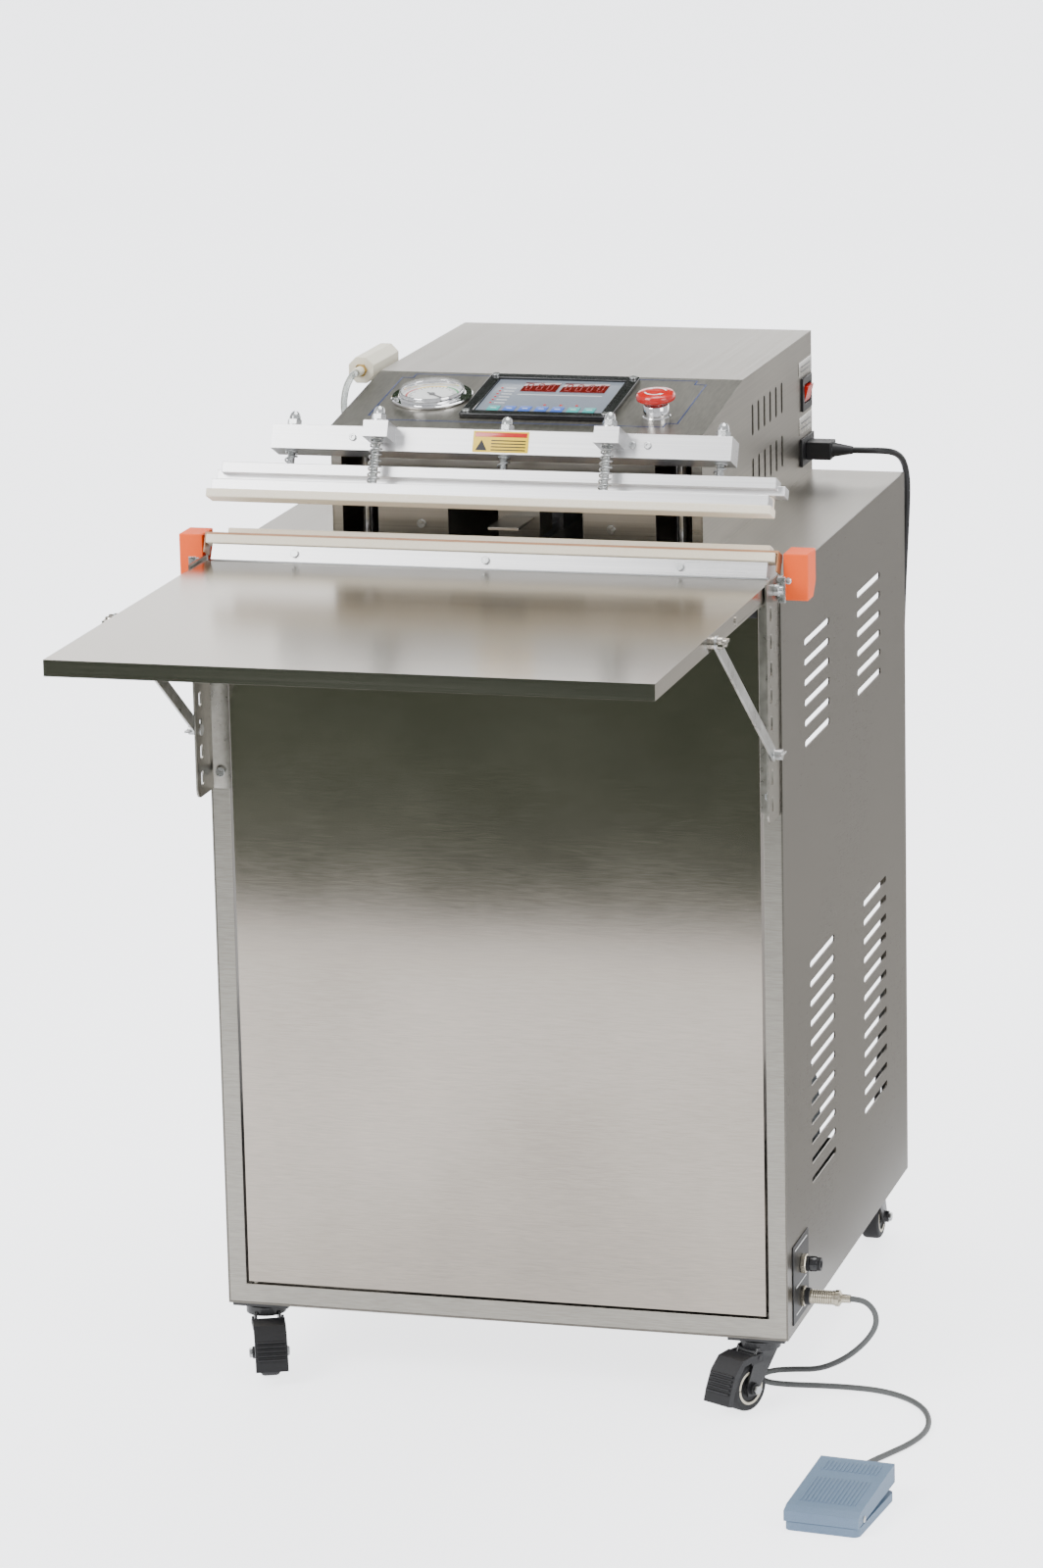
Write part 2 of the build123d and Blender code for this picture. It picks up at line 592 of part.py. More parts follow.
def electrical_unit():
    """The transformer on the floor and the control board on the head's deck."""
    core = block(120, 240, 90, 190, CAB_Z0 + 2, CAB_Z0 + 100)
    board = block(-150, 150, 420, 540, CAB_Z1 + 6, CAB_Z1 + 8)
    for x in (-140, 140):
        for y in (430, 530):
            board += block(x - 4, x + 4, y - 4, y + 4, CAB_Z1, CAB_Z1 + 6)
    return [core, board]


# ---- table ----
def table_panel():
    """The folding work table: a sheet with a lip at its front and both sides, on strut bolts."""
    y0, y1 = TABLE_Y
    low = TABLE_TOP - TABLE_LIP
    top = block(-TABLE_HALF, TABLE_HALF, y0, y1, TABLE_TOP - SHEET, TABLE_TOP)
    top += block(-TABLE_HALF, TABLE_HALF, y0, y0 + SHEET, low, TABLE_TOP)
    for _, sign in SIDES:
        x0, x1 = sorted((sign * TABLE_HALF, sign * (TABLE_HALF - SHEET)))
        flange = block(x0, x1, y0, y1, low, TABLE_TOP)
        flange -= rod((x0 - 1, *TABLE_HINGE), (x1 + 1, *TABLE_HINGE), 4.06)
        top += flange
        top += rod((sign * (TABLE_HALF - 4), -169, 861.5), (sign * (TABLE_HALF + 1.1), -169, 861.5), 5)
        y, z = STRUT_TOP
        top += rod((sign * (TABLE_HALF - 4), y, z), (sign * STRUT_X, y, z), 6)
        top += rod((sign * STRUT_X, y, z), (sign * (STRUT_X + STRUT_T + 9), y, z), 3.5)
        seat = STRUT_X + STRUT_T + 0.2
        top += rod((sign * seat, y, z), (sign * (seat + 5), y, z), 6)
        wings = sorted((sign * (seat + 3), sign * (seat + 8)))
        top += block(*wings, y - 14, y + 14, z - 1, z + 2)
    return top


def strut(sign):
    """A flat zinc bar with round ends, a hole for the table's bolt and a wing nut at its foot."""
    x0, x1 = sorted((sign * STRUT_X, sign * (STRUT_X + STRUT_T)))
    (ya, za), (yb, zb) = STRUT_TOP, STRUT_FOOT
    length = hypot(yb - ya, zb - za)
    tilt = degrees(atan2(zb - za, yb - ya))
    flat = block(x0, x1, 0, length, -7, 7)
    flat += rod((x0, 0, 0), (x1, 0, 0), 7) + rod((x0, length, 0), (x1, length, 0), 7)
    flat -= rod((x0 - 1, 0, 0), (x1 + 1, 0, 0), 3.56)
    flat = Pos(0, ya, za) * Rot(tilt, 0, 0) * flat
    outer = STRUT_X + STRUT_T
    nut = rod((sign * outer, yb, zb), (sign * (outer + 8), yb, zb), 5.5)
    wings = sorted((sign * (outer + 3), sign * (outer + 9)))
    return flat + nut + block(*wings, yb - 13, yb + 13, zb - 1, zb + 1)


# ---- casters ----
def caster_frame(side):
    """The swivel axis and the trailing direction of a front caster."""
    sign = 1 if side == "right" else -1
    turn = FRONT_HEADING[side]
    return Pos(sign * CASTER_X, CASTER_Y[0], 0) * Rot(0, 0, turn)


def wheel_at(place):
    """A wheel with a bore, its axis across the trailing direction."""
    y = WHEEL_W / 2
    wheel = rod((TRAIL, -y, WHEEL_R), (TRAIL, y, WHEEL_R), WHEEL_R)
    wheel = fillet(wheel.edges(), 4)
    return place * (wheel - rod((TRAIL, -y - 1, WHEEL_R), (TRAIL, y + 1, WHEEL_R), 4.06))


def fork_at(place, swivel=True):
    """A stamped fork: a disc under the plate, two leaning legs, the axle bolt and the lever's pin."""
    fork = rod((0, 0, 62), (0, 0, 70.8 if swivel else 71.8), 21)
    if swivel:
        fork -= rod((0, 0, 60), (0, 0, 72), KINGPIN_R + 0.06)
        fork += rod((LEVER_PIN[0], -17.5, LEVER_PIN[1]), (LEVER_PIN[0], 17.5, LEVER_PIN[1]), 2.5)
    gap = WHEEL_W / 2 + 1.2
    points = [
        (-17, 66), (20, 66), (TRAIL + 10, WHEEL_R + 2), (TRAIL + 8, WHEEL_R - 7), (TRAIL - 4, WHEEL_R - 8),
    ]
    for y0 in (-gap - 2.5, gap):
        wire = Polyline(*[(x, y0, z) for x, z in points], close=True)
        fork += extrude(Face(Wire(wire.edges())), amount=2.5, dir=(0, 1, 0))
    reach = gap + 2.5
    axle = rod((TRAIL, -reach, WHEEL_R), (TRAIL, reach, WHEEL_R), 4.0)
    axle += rod((TRAIL, -reach - 4, WHEEL_R), (TRAIL, -reach, WHEEL_R), 6.5)
    axle += rod((TRAIL, reach, WHEEL_R), (TRAIL, reach + 4, WHEEL_R), 6.5)
    return place * (fork + axle)


def brake_at(place):
    """The brake lever: a bent plate over the wheel with ribs, on a cross pin in the fork."""
    reach = WHEEL_W / 2 + 3.9
    outer = [
        (30, 62), (46, 60), (58, 48), (66, 30), (70, 17), (64, 15), (59, 29), (52, 43), (44, 53), (30, 55),
    ]
    wire = Polyline(*[(x, -reach - 3, z) for x, z in outer], close=True)
    lever = extrude(Face(Wire(wire.edges())), amount=2 * reach + 6, dir=(0, 1, 0))
    x, z = LEVER_PIN
    for y0 in (-reach - 3, reach + 0.3):
        ear = block(x - 5, x + 13, y0, y0 + 2.7, z - 5, z + 4)
        lever += ear - rod((x, y0 - 1, z), (x, y0 + 4, z), 2.56)
    return place * lever


def caster_mounts():
    """Top plates of the front casters and the whole fixed brackets of the rear ones."""
    pieces = []
    for sign in (-1, 1):
        front = Pos(sign * CASTER_X, CASTER_Y[0], 0)
        plate = block(-30, 30, -20, 44, 71.8, CAB_Z0)
        pieces.append(front * (plate + rod((0, 0, 63), (0, 0, 72), KINGPIN_R)))
        rear = Pos(sign * CASTER_X, CASTER_Y[1] - 12, 0)
        plate = rear * block(-30, 30, -32, 32, 71.8, CAB_Z0)
        pieces.append(plate + fork_at(rear_place(sign), swivel=False))
    return pieces


def rear_place(sign):
    """A fixed rear caster trails straight back."""
    return Pos(sign * CASTER_X, CASTER_Y[1] - 30, 0) * Rot(0, 0, 90)


# ---- foot pedal ----
def pedal_place():
    """Where the foot pedal lies on the floor."""
    return Pos(PEDAL_AT[0], PEDAL_AT[1], 0) * Rot(0, 0, PEDAL_TURN)


def pedal_base():
    """The pedal's tapered base with its two hinge pins."""
    w, half = PEDAL_W / 2, PEDAL_L / 2
    base = block(-w, w, -half, half, 0, 9)
    base = fillet(base.edges().filter_by(Axis.Z), 7)
    base += block(-w + 6, w - 6, -half + 8, half - 8, 9, 12)
    for sign in (-1, 1):
        x0, x1 = sorted((sign * (w - 8), sign * (w - 5)))
        base += block(x0, x1, -half + 8, -half + 24, 9, 17)
        base += rod((sign * (w - 5), -half + 16, 14), (sign * (w + 0.5), -half + 16, 14), 2.5)
    base += block(-7, 7, half - 2, half + 6, 2, 15)
    return pedal_place() * base


def pedal_treadle():
    """The hollow treadle, low at the front and high at the back."""
    w, half = PEDAL_W / 2, PEDAL_L / 2
    outer = [(-half - 1, 9.6), (-half - 1, 20), (-half + 8, 24), (half + 2, 36), (half + 2, 17)]
    inner = [(-half + 2, 9), (-half + 2, 18), (-half + 9, 20.5), (half - 1, 32.5), (half - 1, 9)]
    solid = profile_along_x(outer, -w, w) - profile_along_x(inner, -w + 3, w - 3)
    solid -= block(-9, 9, half - 4, half + 4, 0, 25)
    for sign in (-1, 1):
        x0, x1 = sorted((sign * (w - 4), sign * (w + 1)))
        solid -= rod((x0, -half + 16, 14), (x1, -half + 16, 14), 2.56)
    return pedal_place() * solid


# ---- cords and what is on them ----
def pedal_connector():
    """The round plug screwed on to the pedal socket."""
    x = HALF_W + 10
    plug = rod((x, 61, 104), (x + 26, 61, 104), 7.5) + rod((x + 26, 61, 104), (x + 31, 61, 104), 8.5)
    return plug + rod((x + 31, 61, 104), (PEDAL_EXIT[0], 61, 104), 4.5)


def power_connector():
    """The appliance plug in the mains inlet, with its tapered strain relief."""
    x = HEAD_X[1]
    plug = block(x - 16, x + 3, 559, 581, 886, 900) + block(x + 3, x + 30, 557, 583, 883.5, 902.5)
    relief = Plane(origin=(x + 30, 570, 893), z_dir=(1, 0, 0)) * Cone(
        8, 4.2, POWER_EXIT[0] - x - 30, align=(Align.CENTER, Align.CENTER, Align.MIN)
    )
    return plug + relief


def mains_plug():
    """The mains plug lying on the coil, with its strain relief and two blades."""
    x, y, z = PLUG_AT
    body = block(x - 14, x + 14, y - 19, y + 19, z, z + 19)
    body = fillet(body.edges().filter_by(Axis.Z), 6)
    for side in (-7, 7):
        body += block(x + side - 1, x + side + 1, y + 19, y + 36, z + 7, z + 13)
    return body + rod((x, y - 19, z + 9.5), (x, y - 44, z + 9.5), 5)


def power_cord_coil():
    """The wound part of the mains lead, as one closed ring."""
    x, y = COIL_CENTRE
    return tube((x, y, 0.2), (x, y, COIL_H), COIL_R[1], COIL_R[0])


def build_all():
    """Every node's solids by name, in the working frame."""
    nodes = {}
    for side, sign in SIDES:
        nodes[f"{side}_side_panel"] = side_panel(sign)
        nodes[f"{side}_strut"] = strut(sign)
        place = caster_frame(side)
        nodes[f"front_{side}_fork"] = fork_at(place)
        nodes[f"front_{side}_wheel"] = wheel_at(place)
        nodes[f"front_{side}_brake"] = brake_at(place)
        nodes[f"rear_{side}_wheel"] = wheel_at(rear_place(sign))
    simple = (
        deck_panel, base_panel, front_frame, front_door, rear_frame, slotted_brackets, head_shell,
        head_front_plate, gauge_case, gauge_lens, gauge_needle, display_unit, estop_collar, estop_head,
        switch_and_inlet, rocker_switch, press_beam, press_rods, air_cylinders, rear_jaw_bar,
        rear_jaw_seal, lower_jaw, lower_jaw_seals, heater_cover, end_caps, machine_screws, filter_block,
        filter_tube, port_plate, vacuum_pump, electrical_unit, table_panel, caster_mounts, pedal_base,
        pedal_treadle, pedal_connector, power_connector, mains_plug, power_cord_coil,
    )
    for make in simple:
        nodes[make.__name__] = make()
    nodes["front_jaw_bar"] = jaw_bar(-LOWER_HALF, LOWER_HALF, FRONT_BAR_UV)
    nodes["front_jaw_strip"] = jaw_bar(-292.5, 292.5, FRONT_STRIP_UV)
    nodes["rear_jaw_bolts"] = jaw_bolts(REAR_BOLT_X, REAR_BOLT_U, REAR_BAR_UV[3], BEAM_UV[3])
    nodes["front_jaw_bolts"] = jaw_bolts(FRONT_BOLT_X, FRONT_BOLT_U, FRONT_BAR_UV[3], BLOCK_UV[3])
    nodes["rear_springs"] = jaw_springs(REAR_BOLT_X, REAR_BOLT_U, REAR_BAR_UV[3], BEAM_UV[2])
    nodes["front_springs"] = jaw_springs(FRONT_BOLT_X, FRONT_BOLT_U, FRONT_BAR_UV[3], BLOCK_UV[2])
    x0 = 2.0
    blade = block(x0 - 16, x0 + 16, 52, 112, 897.5, 900.5)
    carriage = block(x0 - 22, x0 + 22, 112, 160, 879, 915) + rod((x0, 160, 899), (x0, 300, 899), 4.0)
    nodes["nozzle"] = [blade, carriage]
    nodes["pedal_cord"], pedal_length = cord_tube(PEDAL_ROUTE, PEDAL_CORD_D, "pedal_cord")
    nodes["power_cord"], power_length = cord_tube(POWER_ROUTE, POWER_CORD_D, "power_cord")
    turn = pi * (COIL_R[0] + COIL_R[1])
    wound = POWER_CORD_LENGTH - power_length
    print(f"coil: {wound:.0f} mm wound, {wound / turn:.2f} turns")
    return nodes


CORD_NODES = (
    "pedal_cord", "pedal_connector", "power_connector", "power_cord", "power_cord_coil", "mains_plug",
)


def main():
    """Builds every node, moves the origin to the footprint's middle and writes the files."""
    os.makedirs("parts", exist_ok=True)
    nodes = build_all()
    whole = {}
    for name, made in nodes.items():
        solids = made if isinstance(made, list) else list(made.solids())
        whole[name] = Compound(children=[s for piece in solids for s in piece.solids()])
    fixed = [whole[n].bounding_box() for n in whole if n not in CORD_NODES]
    mid_x = (min(b.min.X for b in fixed) + max(b.max.X for b in fixed)) / 2
    mid_y = (min(b.min.Y for b in fixed) + max(b.max.Y for b in fixed)) / 2
    print(f"origin moved by {-mid_x:.3f}, {-mid_y:.3f}")
    for name, shape in whole.items():
        export_step(Pos(-mid_x, -mid_y, 0) * shape, f"parts/{name}.step")
    print(len(whole), "nodes")


main()
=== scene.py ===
"""The looks of a floor-standing external vacuum sealer on a wheeled steel cabinet.

Every shape is worked out in millimetres in the cabinet's own frame: x = 0 on its centre
line, y = 0 on its front face with +Y to the back, z = 0 on the floor. The move to the
CAD frame comes from the CAD side panel.
"""
import json
import logging
from dataclasses import dataclass, field
from enum import Enum
from math import atan2, cos, pi, radians, sin

import bmesh
import bpy
import numpy as np
from mathutils import Matrix, Vector


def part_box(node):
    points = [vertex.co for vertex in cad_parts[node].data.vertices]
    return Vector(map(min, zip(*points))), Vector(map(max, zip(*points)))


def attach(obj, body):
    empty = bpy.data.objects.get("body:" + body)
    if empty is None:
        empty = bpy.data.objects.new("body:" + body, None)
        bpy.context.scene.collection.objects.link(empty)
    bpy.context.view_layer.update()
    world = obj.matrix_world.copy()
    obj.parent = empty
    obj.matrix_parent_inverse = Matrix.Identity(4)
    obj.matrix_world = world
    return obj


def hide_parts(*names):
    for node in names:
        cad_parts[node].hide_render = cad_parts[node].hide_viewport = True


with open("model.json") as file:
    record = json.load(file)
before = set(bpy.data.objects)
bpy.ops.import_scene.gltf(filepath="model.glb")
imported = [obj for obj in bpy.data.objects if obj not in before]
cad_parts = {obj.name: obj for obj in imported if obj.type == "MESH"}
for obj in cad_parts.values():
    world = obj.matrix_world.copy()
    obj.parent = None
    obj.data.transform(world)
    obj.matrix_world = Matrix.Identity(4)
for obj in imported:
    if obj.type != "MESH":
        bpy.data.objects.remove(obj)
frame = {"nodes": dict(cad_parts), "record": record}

logging.basicConfig(level=logging.INFO, format="%(message)s")
log = logging.getLogger("sealer")

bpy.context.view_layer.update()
CABINET_HALF = 300.0
LOW_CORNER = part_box("left_side_panel")[0]
SHIFT = np.array([LOW_CORNER.x * 1000 + CABINET_HALF, LOW_CORNER.y * 1000, 0.0])
SIDES = (("left", -1), ("right", 1))
BODY_OF = {
    node: body
    for body, members in frame["record"]["behaviour"]["bodies"].items()
    for node in members
}


# ---------------------------------------------------------------- places
@dataclass(frozen=True)
class Place:
    """A local frame: an origin and three axes as the rows of a matrix, in the cabinet's millimetres."""

    origin: tuple[float, float, float]
    axes: tuple[tuple[float, float, float], ...] = ((1, 0, 0), (0, 1, 0), (0, 0, 1))

    def put(self, points: np.ndarray) -> np.ndarray:
        """Local points in the cabinet's frame: origin + x*axis0 + y*axis1 + z*axis2."""
        return np.asarray(points, float) @ np.array(self.axes, float) + np.array(self.origin, float)

    def at(self, x: float, y: float, z: float) -> "Place":
        """The same axes with the origin moved to a local point."""
        return Place(tuple(self.put(np.array([x, y, z]))), self.axes)


def turned(origin: tuple[float, float, float], degrees: float) -> Place:
    """A place turned about the vertical."""
    a = radians(degrees)
    return Place(origin, ((cos(a), sin(a), 0), (-sin(a), cos(a), 0), (0, 0, 1)))


def along(origin: tuple[float, float, float], axis: str) -> Place:
    """A place whose local z runs along a named axis of the cabinet, such as '+x' or '-y'."""
    rows = {
        "+x": ((0, 1, 0), (0, 0, 1), (1, 0, 0)),
        "-x": ((0, 0, 1), (0, 1, 0), (-1, 0, 0)),
        "+y": ((0, 0, 1), (1, 0, 0), (0, 1, 0)),
        "-y": ((1, 0, 0), (0, 0, 1), (0, -1, 0)),
        "+z": ((1, 0, 0), (0, 1, 0), (0, 0, 1)),
    }
    return Place(origin, rows[axis])


FLOOR = Place((0.0, 0.0, 0.0))
TILT = radians(24.0)
JAW = Place((0.0, 0.0, 0.0), ((1, 0, 0), (0, cos(TILT), -sin(TILT)), (0, sin(TILT), cos(TILT))))
RISE = atan2(27.0, 180.0)
SLOPE = Place((0.0, 98.0, 991.0), ((1, 0, 0), (0, cos(RISE), sin(RISE)), (0, -sin(RISE), cos(RISE))))


def metres(points: np.ndarray) -> np.ndarray:
    """Cabinet millimetres as metres of the CAD frame."""
    return (np.asarray(points, float) + SHIFT) / 1000.0


# ---------------------------------------------------------------- colours and finishes
def tint(red: int, green: int, blue: int) -> tuple[float, float, float, float]:
    """An everyday 0-255 colour as a linear one."""

    def linear(value: float) -> float:
        """One channel, by the display curve."""
        value /= 255.0
        return value / 12.92 if value <= 0.04045 else ((value + 0.055) / 1.055) ** 2.4

    return (linear(red), linear(green), linear(blue), 1.0)


class Pattern(Enum):
    """What the fine surface of a finish is made of."""

    GRAIN = "grain"
    WEAVE = "weave"
    PORES = "pores"


def new_group(name: str, inputs: tuple, outputs: tuple) -> bpy.types.NodeTree:
    """An empty node group with named sockets.

    Args:
        name: the group's name.
        inputs: (name, socket type, default) for each input.
        outputs: (name, socket type) for each output.

    Returns:
        The node tree, with its group input and output nodes.
    """
    tree = bpy.data.node_groups.new(name, "ShaderNodeTree")
    for label, kind, default in inputs:
        socket = tree.interface.new_socket(label, in_out="INPUT", socket_type=kind)
        if default is not None:
            socket.default_value = default
    for label, kind in outputs:
        tree.interface.new_socket(label, in_out="OUTPUT", socket_type=kind)
    tree.nodes.new("NodeGroupInput").name = "in"
    tree.nodes.new("NodeGroupOutput").name = "out"
    return tree


def math_node(tree: bpy.types.NodeTree, kind: str, first, second) -> bpy.types.NodeSocket:
    """A maths node over two sockets or numbers, and its output socket."""
    node = tree.nodes.new("ShaderNodeMath")
    node.operation = kind
    for slot, value in enumerate((first, second)):
        if isinstance(value, bpy.types.NodeSocket):
            tree.links.new(value, node.inputs[slot])
        else:
            node.inputs[slot].default_value = value
    return node.outputs[0]


def grain_group() -> bpy.types.NodeTree:
    """Fine streaks or speckle over slow clouds: stretched noise added to plain noise."""
    tree = new_group(
        "surface_grain",
        (
            ("Position", "NodeSocketVector", None),
            ("Stretch", "NodeSocketVector", (1.0, 1.0, 1.0)),
            ("Fine", "NodeSocketFloat", 300.0),
            ("Slow", "NodeSocketFloat", 4.0),
            ("Share", "NodeSocketFloat", 0.5),
        ),
        (("Mask", "NodeSocketFloat"), ("Height", "NodeSocketFloat")),
    )
    given, out = tree.nodes["in"], tree.nodes["out"]
    stretch = tree.nodes.new("ShaderNodeVectorMath")
    stretch.operation = "MULTIPLY"
    tree.links.new(given.outputs["Position"], stretch.inputs[0])
    tree.links.new(given.outputs["Stretch"], stretch.inputs[1])
    fine = tree.nodes.new("ShaderNodeTexNoise")
    fine.inputs["Detail"].default_value = 3.0
    tree.links.new(stretch.outputs[0], fine.inputs["Vector"])
    tree.links.new(given.outputs["Fine"], fine.inputs["Scale"])
    slow = tree.nodes.new("ShaderNodeTexNoise")
    slow.inputs["Detail"].default_value = 2.0
    tree.links.new(given.outputs["Position"], slow.inputs["Vector"])
    tree.links.new(given.outputs["Slow"], slow.inputs["Scale"])
    part = math_node(tree, "MULTIPLY", fine.outputs[0], given.outputs["Share"])
    rest = math_node(tree, "SUBTRACT", 1.0, given.outputs["Share"])
    cloud = math_node(tree, "MULTIPLY", slow.outputs[0], rest)
    tree.links.new(math_node(tree, "ADD", part, cloud), out.inputs["Mask"])
    tree.links.new(fine.outputs[0], out.inputs["Height"])
    return tree


def weave_group() -> bpy.types.NodeTree:
    """A plain weave: the larger of two crossed sine waves, a coarse thread over a fine one."""
    tree = new_group(
        "surface_weave",
        (
            ("Position", "NodeSocketVector", None),
            ("Stretch", "NodeSocketVector", (1.0, 1.0, 1.0)),
            ("Fine", "NodeSocketFloat", 300.0),
            ("Slow", "NodeSocketFloat", 4.0),
            ("Share", "NodeSocketFloat", 0.5),
        ),
        (("Mask", "NodeSocketFloat"), ("Height", "NodeSocketFloat")),
    )
    given, out = tree.nodes["in"], tree.nodes["out"]
    split = tree.nodes.new("ShaderNodeSeparateXYZ")
    tree.links.new(given.outputs["Position"], split.inputs[0])
    waves = []
    for axis in ("X", "Y"):
        turn = math_node(tree, "MULTIPLY", split.outputs[axis], given.outputs["Fine"])
        waves.append(math_node(tree, "SINE", turn, 0.0))
    cross = math_node(tree, "MULTIPLY", waves[0], waves[1])
    thread = math_node(tree, "MULTIPLY_ADD", cross, 0.5)
    thread.node.inputs[2].default_value = 0.5
    slow = tree.nodes.new("ShaderNodeTexNoise")
    tree.links.new(given.outputs["Position"], slow.inputs["Vector"])
    tree.links.new(given.outputs["Slow"], slow.inputs["Scale"])
    part = math_node(tree, "MULTIPLY", thread, given.outputs["Share"])
    rest = math_node(tree, "SUBTRACT", 1.0, given.outputs["Share"])
    cloud = math_node(tree, "MULTIPLY", slow.outputs[0], rest)
    tree.links.new(math_node(tree, "ADD", part, cloud), out.inputs["Mask"])
    tree.links.new(thread, out.inputs["Height"])
    return tree


def pores_group() -> bpy.types.NodeTree:
    """Open foam: the distance to the nearest of many scattered points, dark in the pores."""
    tree = new_group(
        "surface_pores",
        (
            ("Position", "NodeSocketVector", None),
            ("Stretch", "NodeSocketVector", (1.0, 1.0, 1.0)),
            ("Fine", "NodeSocketFloat", 700.0),
            ("Slow", "NodeSocketFloat", 4.0),
            ("Share", "NodeSocketFloat", 0.5),
        ),
        (("Mask", "NodeSocketFloat"), ("Height", "NodeSocketFloat")),
    )
    given, out = tree.nodes["in"], tree.nodes["out"]
    cells = tree.nodes.new("ShaderNodeTexVoronoi")
    tree.links.new(given.outputs["Position"], cells.inputs["Vector"])
    tree.links.new(given.outputs["Fine"], cells.inputs["Scale"])
    slow = tree.nodes.new("ShaderNodeTexNoise")
    tree.links.new(given.outputs["Position"], slow.inputs["Vector"])
    tree.links.new(given.outputs["Slow"], slow.inputs["Scale"])
    part = math_node(tree, "MULTIPLY", cells.outputs["Distance"], given.outputs["Share"])
    rest = math_node(tree, "SUBTRACT", 1.0, given.outputs["Share"])
    cloud = math_node(tree, "MULTIPLY", slow.outputs[0], rest)
    tree.links.new(math_node(tree, "ADD", part, cloud), out.inputs["Mask"])
    tree.links.new(cells.outputs["Distance"], out.inputs["Height"])
    return tree


BUILT: dict[str, bpy.types.Material] = {}
GROUPS = {Pattern.GRAIN: grain_group(), Pattern.WEAVE: weave_group(), Pattern.PORES: pores_group()}


@dataclass(frozen=True)
class Finish:
    """One material: two close tones mixed by its pattern, which also varies its gloss and its height."""

    name: str
    dark: tuple[int, int, int]
    light: tuple[int, int, int]
    slot: str
    rough: tuple[float, float] = (0.35, 0.5)
    metallic: float = 0.0
    pattern: Pattern = Pattern.GRAIN
    stretch: tuple[float, float, float] = (1.0, 1.0, 1.0)
    fine: float = 300.0
    slow: float = 5.0
    share: float = 0.5
    bump_mm: float = 0.02
    coat: float = 0.0
    glow: float = 0.0
    clear: float = 0.0
    alpha: float = 1.0

    def build(self) -> bpy.types.Material:
        """Makes the material once and returns it."""
        if self.name in BUILT:
            return BUILT[self.name]
        made = bpy.data.materials.new(f"finish_{self.name}")
        BUILT[self.name] = made
        made.use_nodes = True
        tree = made.node_tree
        surface = tree.nodes["Principled BSDF"]
        where = tree.nodes.new("ShaderNodeTexCoord")
        group = tree.nodes.new("ShaderNodeGroup")
        group.node_tree = GROUPS[self.pattern]
        tree.links.new(where.outputs["Object"], group.inputs["Position"])
        group.inputs["Stretch"].default_value = self.stretch
        group.inputs["Fine"].default_value = self.fine
        group.inputs["Slow"].default_value = self.slow
        group.inputs["Share"].default_value = self.share
        spread = tree.nodes.new("ShaderNodeMapRange")
        spread.inputs["From Min"].default_value = 0.3
        spread.inputs["From Max"].default_value = 0.7
        tree.links.new(group.outputs["Mask"], spread.inputs["Value"])
        mix = tree.nodes.new("ShaderNodeMix")
        mix.data_type = "RGBA"
        mix.inputs[6].default_value = tint(*self.dark)
        mix.inputs[7].default_value = tint(*self.light)
        tree.links.new(spread.outputs[0], mix.inputs[0])
        tree.links.new(mix.outputs[2], surface.inputs["Base Color"])
        gloss = tree.nodes.new("ShaderNodeMapRange")
        gloss.inputs["To Min"].default_value = self.rough[0]
        gloss.inputs["To Max"].default_value = self.rough[1]
        tree.links.new(spread.outputs[0], gloss.inputs["Value"])
        tree.links.new(gloss.outputs[0], surface.inputs["Roughness"])
        bump = tree.nodes.new("ShaderNodeBump")
        bump.inputs["Distance"].default_value = self.bump_mm / 1000.0
        bump.inputs["Strength"].default_value = 0.6
        tree.links.new(group.outputs["Height"], bump.inputs["Height"])
        tree.links.new(bump.outputs[0], surface.inputs["Normal"])
        surface.inputs["Metallic"].default_value = self.metallic
        surface.inputs["Coat Weight"].default_value = self.coat
        surface.inputs["Alpha"].default_value = self.alpha
        if self.glow:
            tree.links.new(mix.outputs[2], surface.inputs["Emission Color"])
            surface.inputs["Emission Strength"].default_value = self.glow
        if self.clear:
            surface.inputs["Transmission Weight"].default_value = self.clear
            surface.inputs["IOR"].default_value = 1.46
        return made


STEEL = dict(slot="stainless", metallic=1.0, fine=60.0, share=0.7, bump_mm=0.012)
# Painted shade: a darker copy of the cabinet's stainless, for the side and base sheets.
SHADED_SIDE_STEEL = Finish(
    "shaded_side_steel", (106, 102, 96), (130, 126, 119), rough=(0.26, 0.36),
    stretch=(1.0, 1.0, 30.0), **STEEL,
)
DOOR_STEEL = Finish(
    "door_steel", (158, 150, 140), (186, 177, 166), "stainless", (0.10, 0.15), 1.0,
    stretch=(1.0, 1.0, 30.0), fine=60.0, share=0.5, bump_mm=0.003,
)
NICKEL = Finish(
    "nickel_shell", (176, 168, 150), (208, 200, 182), "chromed", (0.16, 0.28), 1.0, slow=40.0,
)
BRACKET_STEEL = Finish(
    "bracket_steel", (134, 131, 124), (168, 165, 157), "zinc", (0.24, 0.36), 1.0, fine=120.0, slow=20.0,
)
FRAME_STEEL = Finish(
    "frame_steel", (148, 144, 136), (176, 172, 163), rough=(0.28, 0.38),
    stretch=(1.0, 1.0, 20.0), **STEEL,
)
TABLE_STEEL = Finish(
    "table_steel", (166, 161, 152), (182, 177, 168), rough=(0.16, 0.22),
    stretch=(0.04, 8.0, 8.0), **STEEL,
)
HEAD_STEEL = Finish(
    "head_steel", (142, 138, 130), (170, 166, 157), rough=(0.28, 0.38),
    stretch=(8.0, 0.04, 8.0), **STEEL,
)
FRONT_STEEL = Finish(
    "front_steel", (160, 156, 148), (188, 184, 176), rough=(0.26, 0.36),
    stretch=(0.04, 8.0, 8.0), **STEEL,
)
ZINC = Finish(
    "zinc_plate", (172, 173, 172), (212, 213, 212),
    "zinc", (0.24, 0.42), 1.0, fine=140.0, slow=25.0, bump_mm=0.02,
)
BOLT_ZINC = Finish(
    "bolt_zinc", (178, 180, 180), (222, 224, 224), "zinc", (0.20, 0.34), 1.0, fine=200.0, slow=40.0,
)
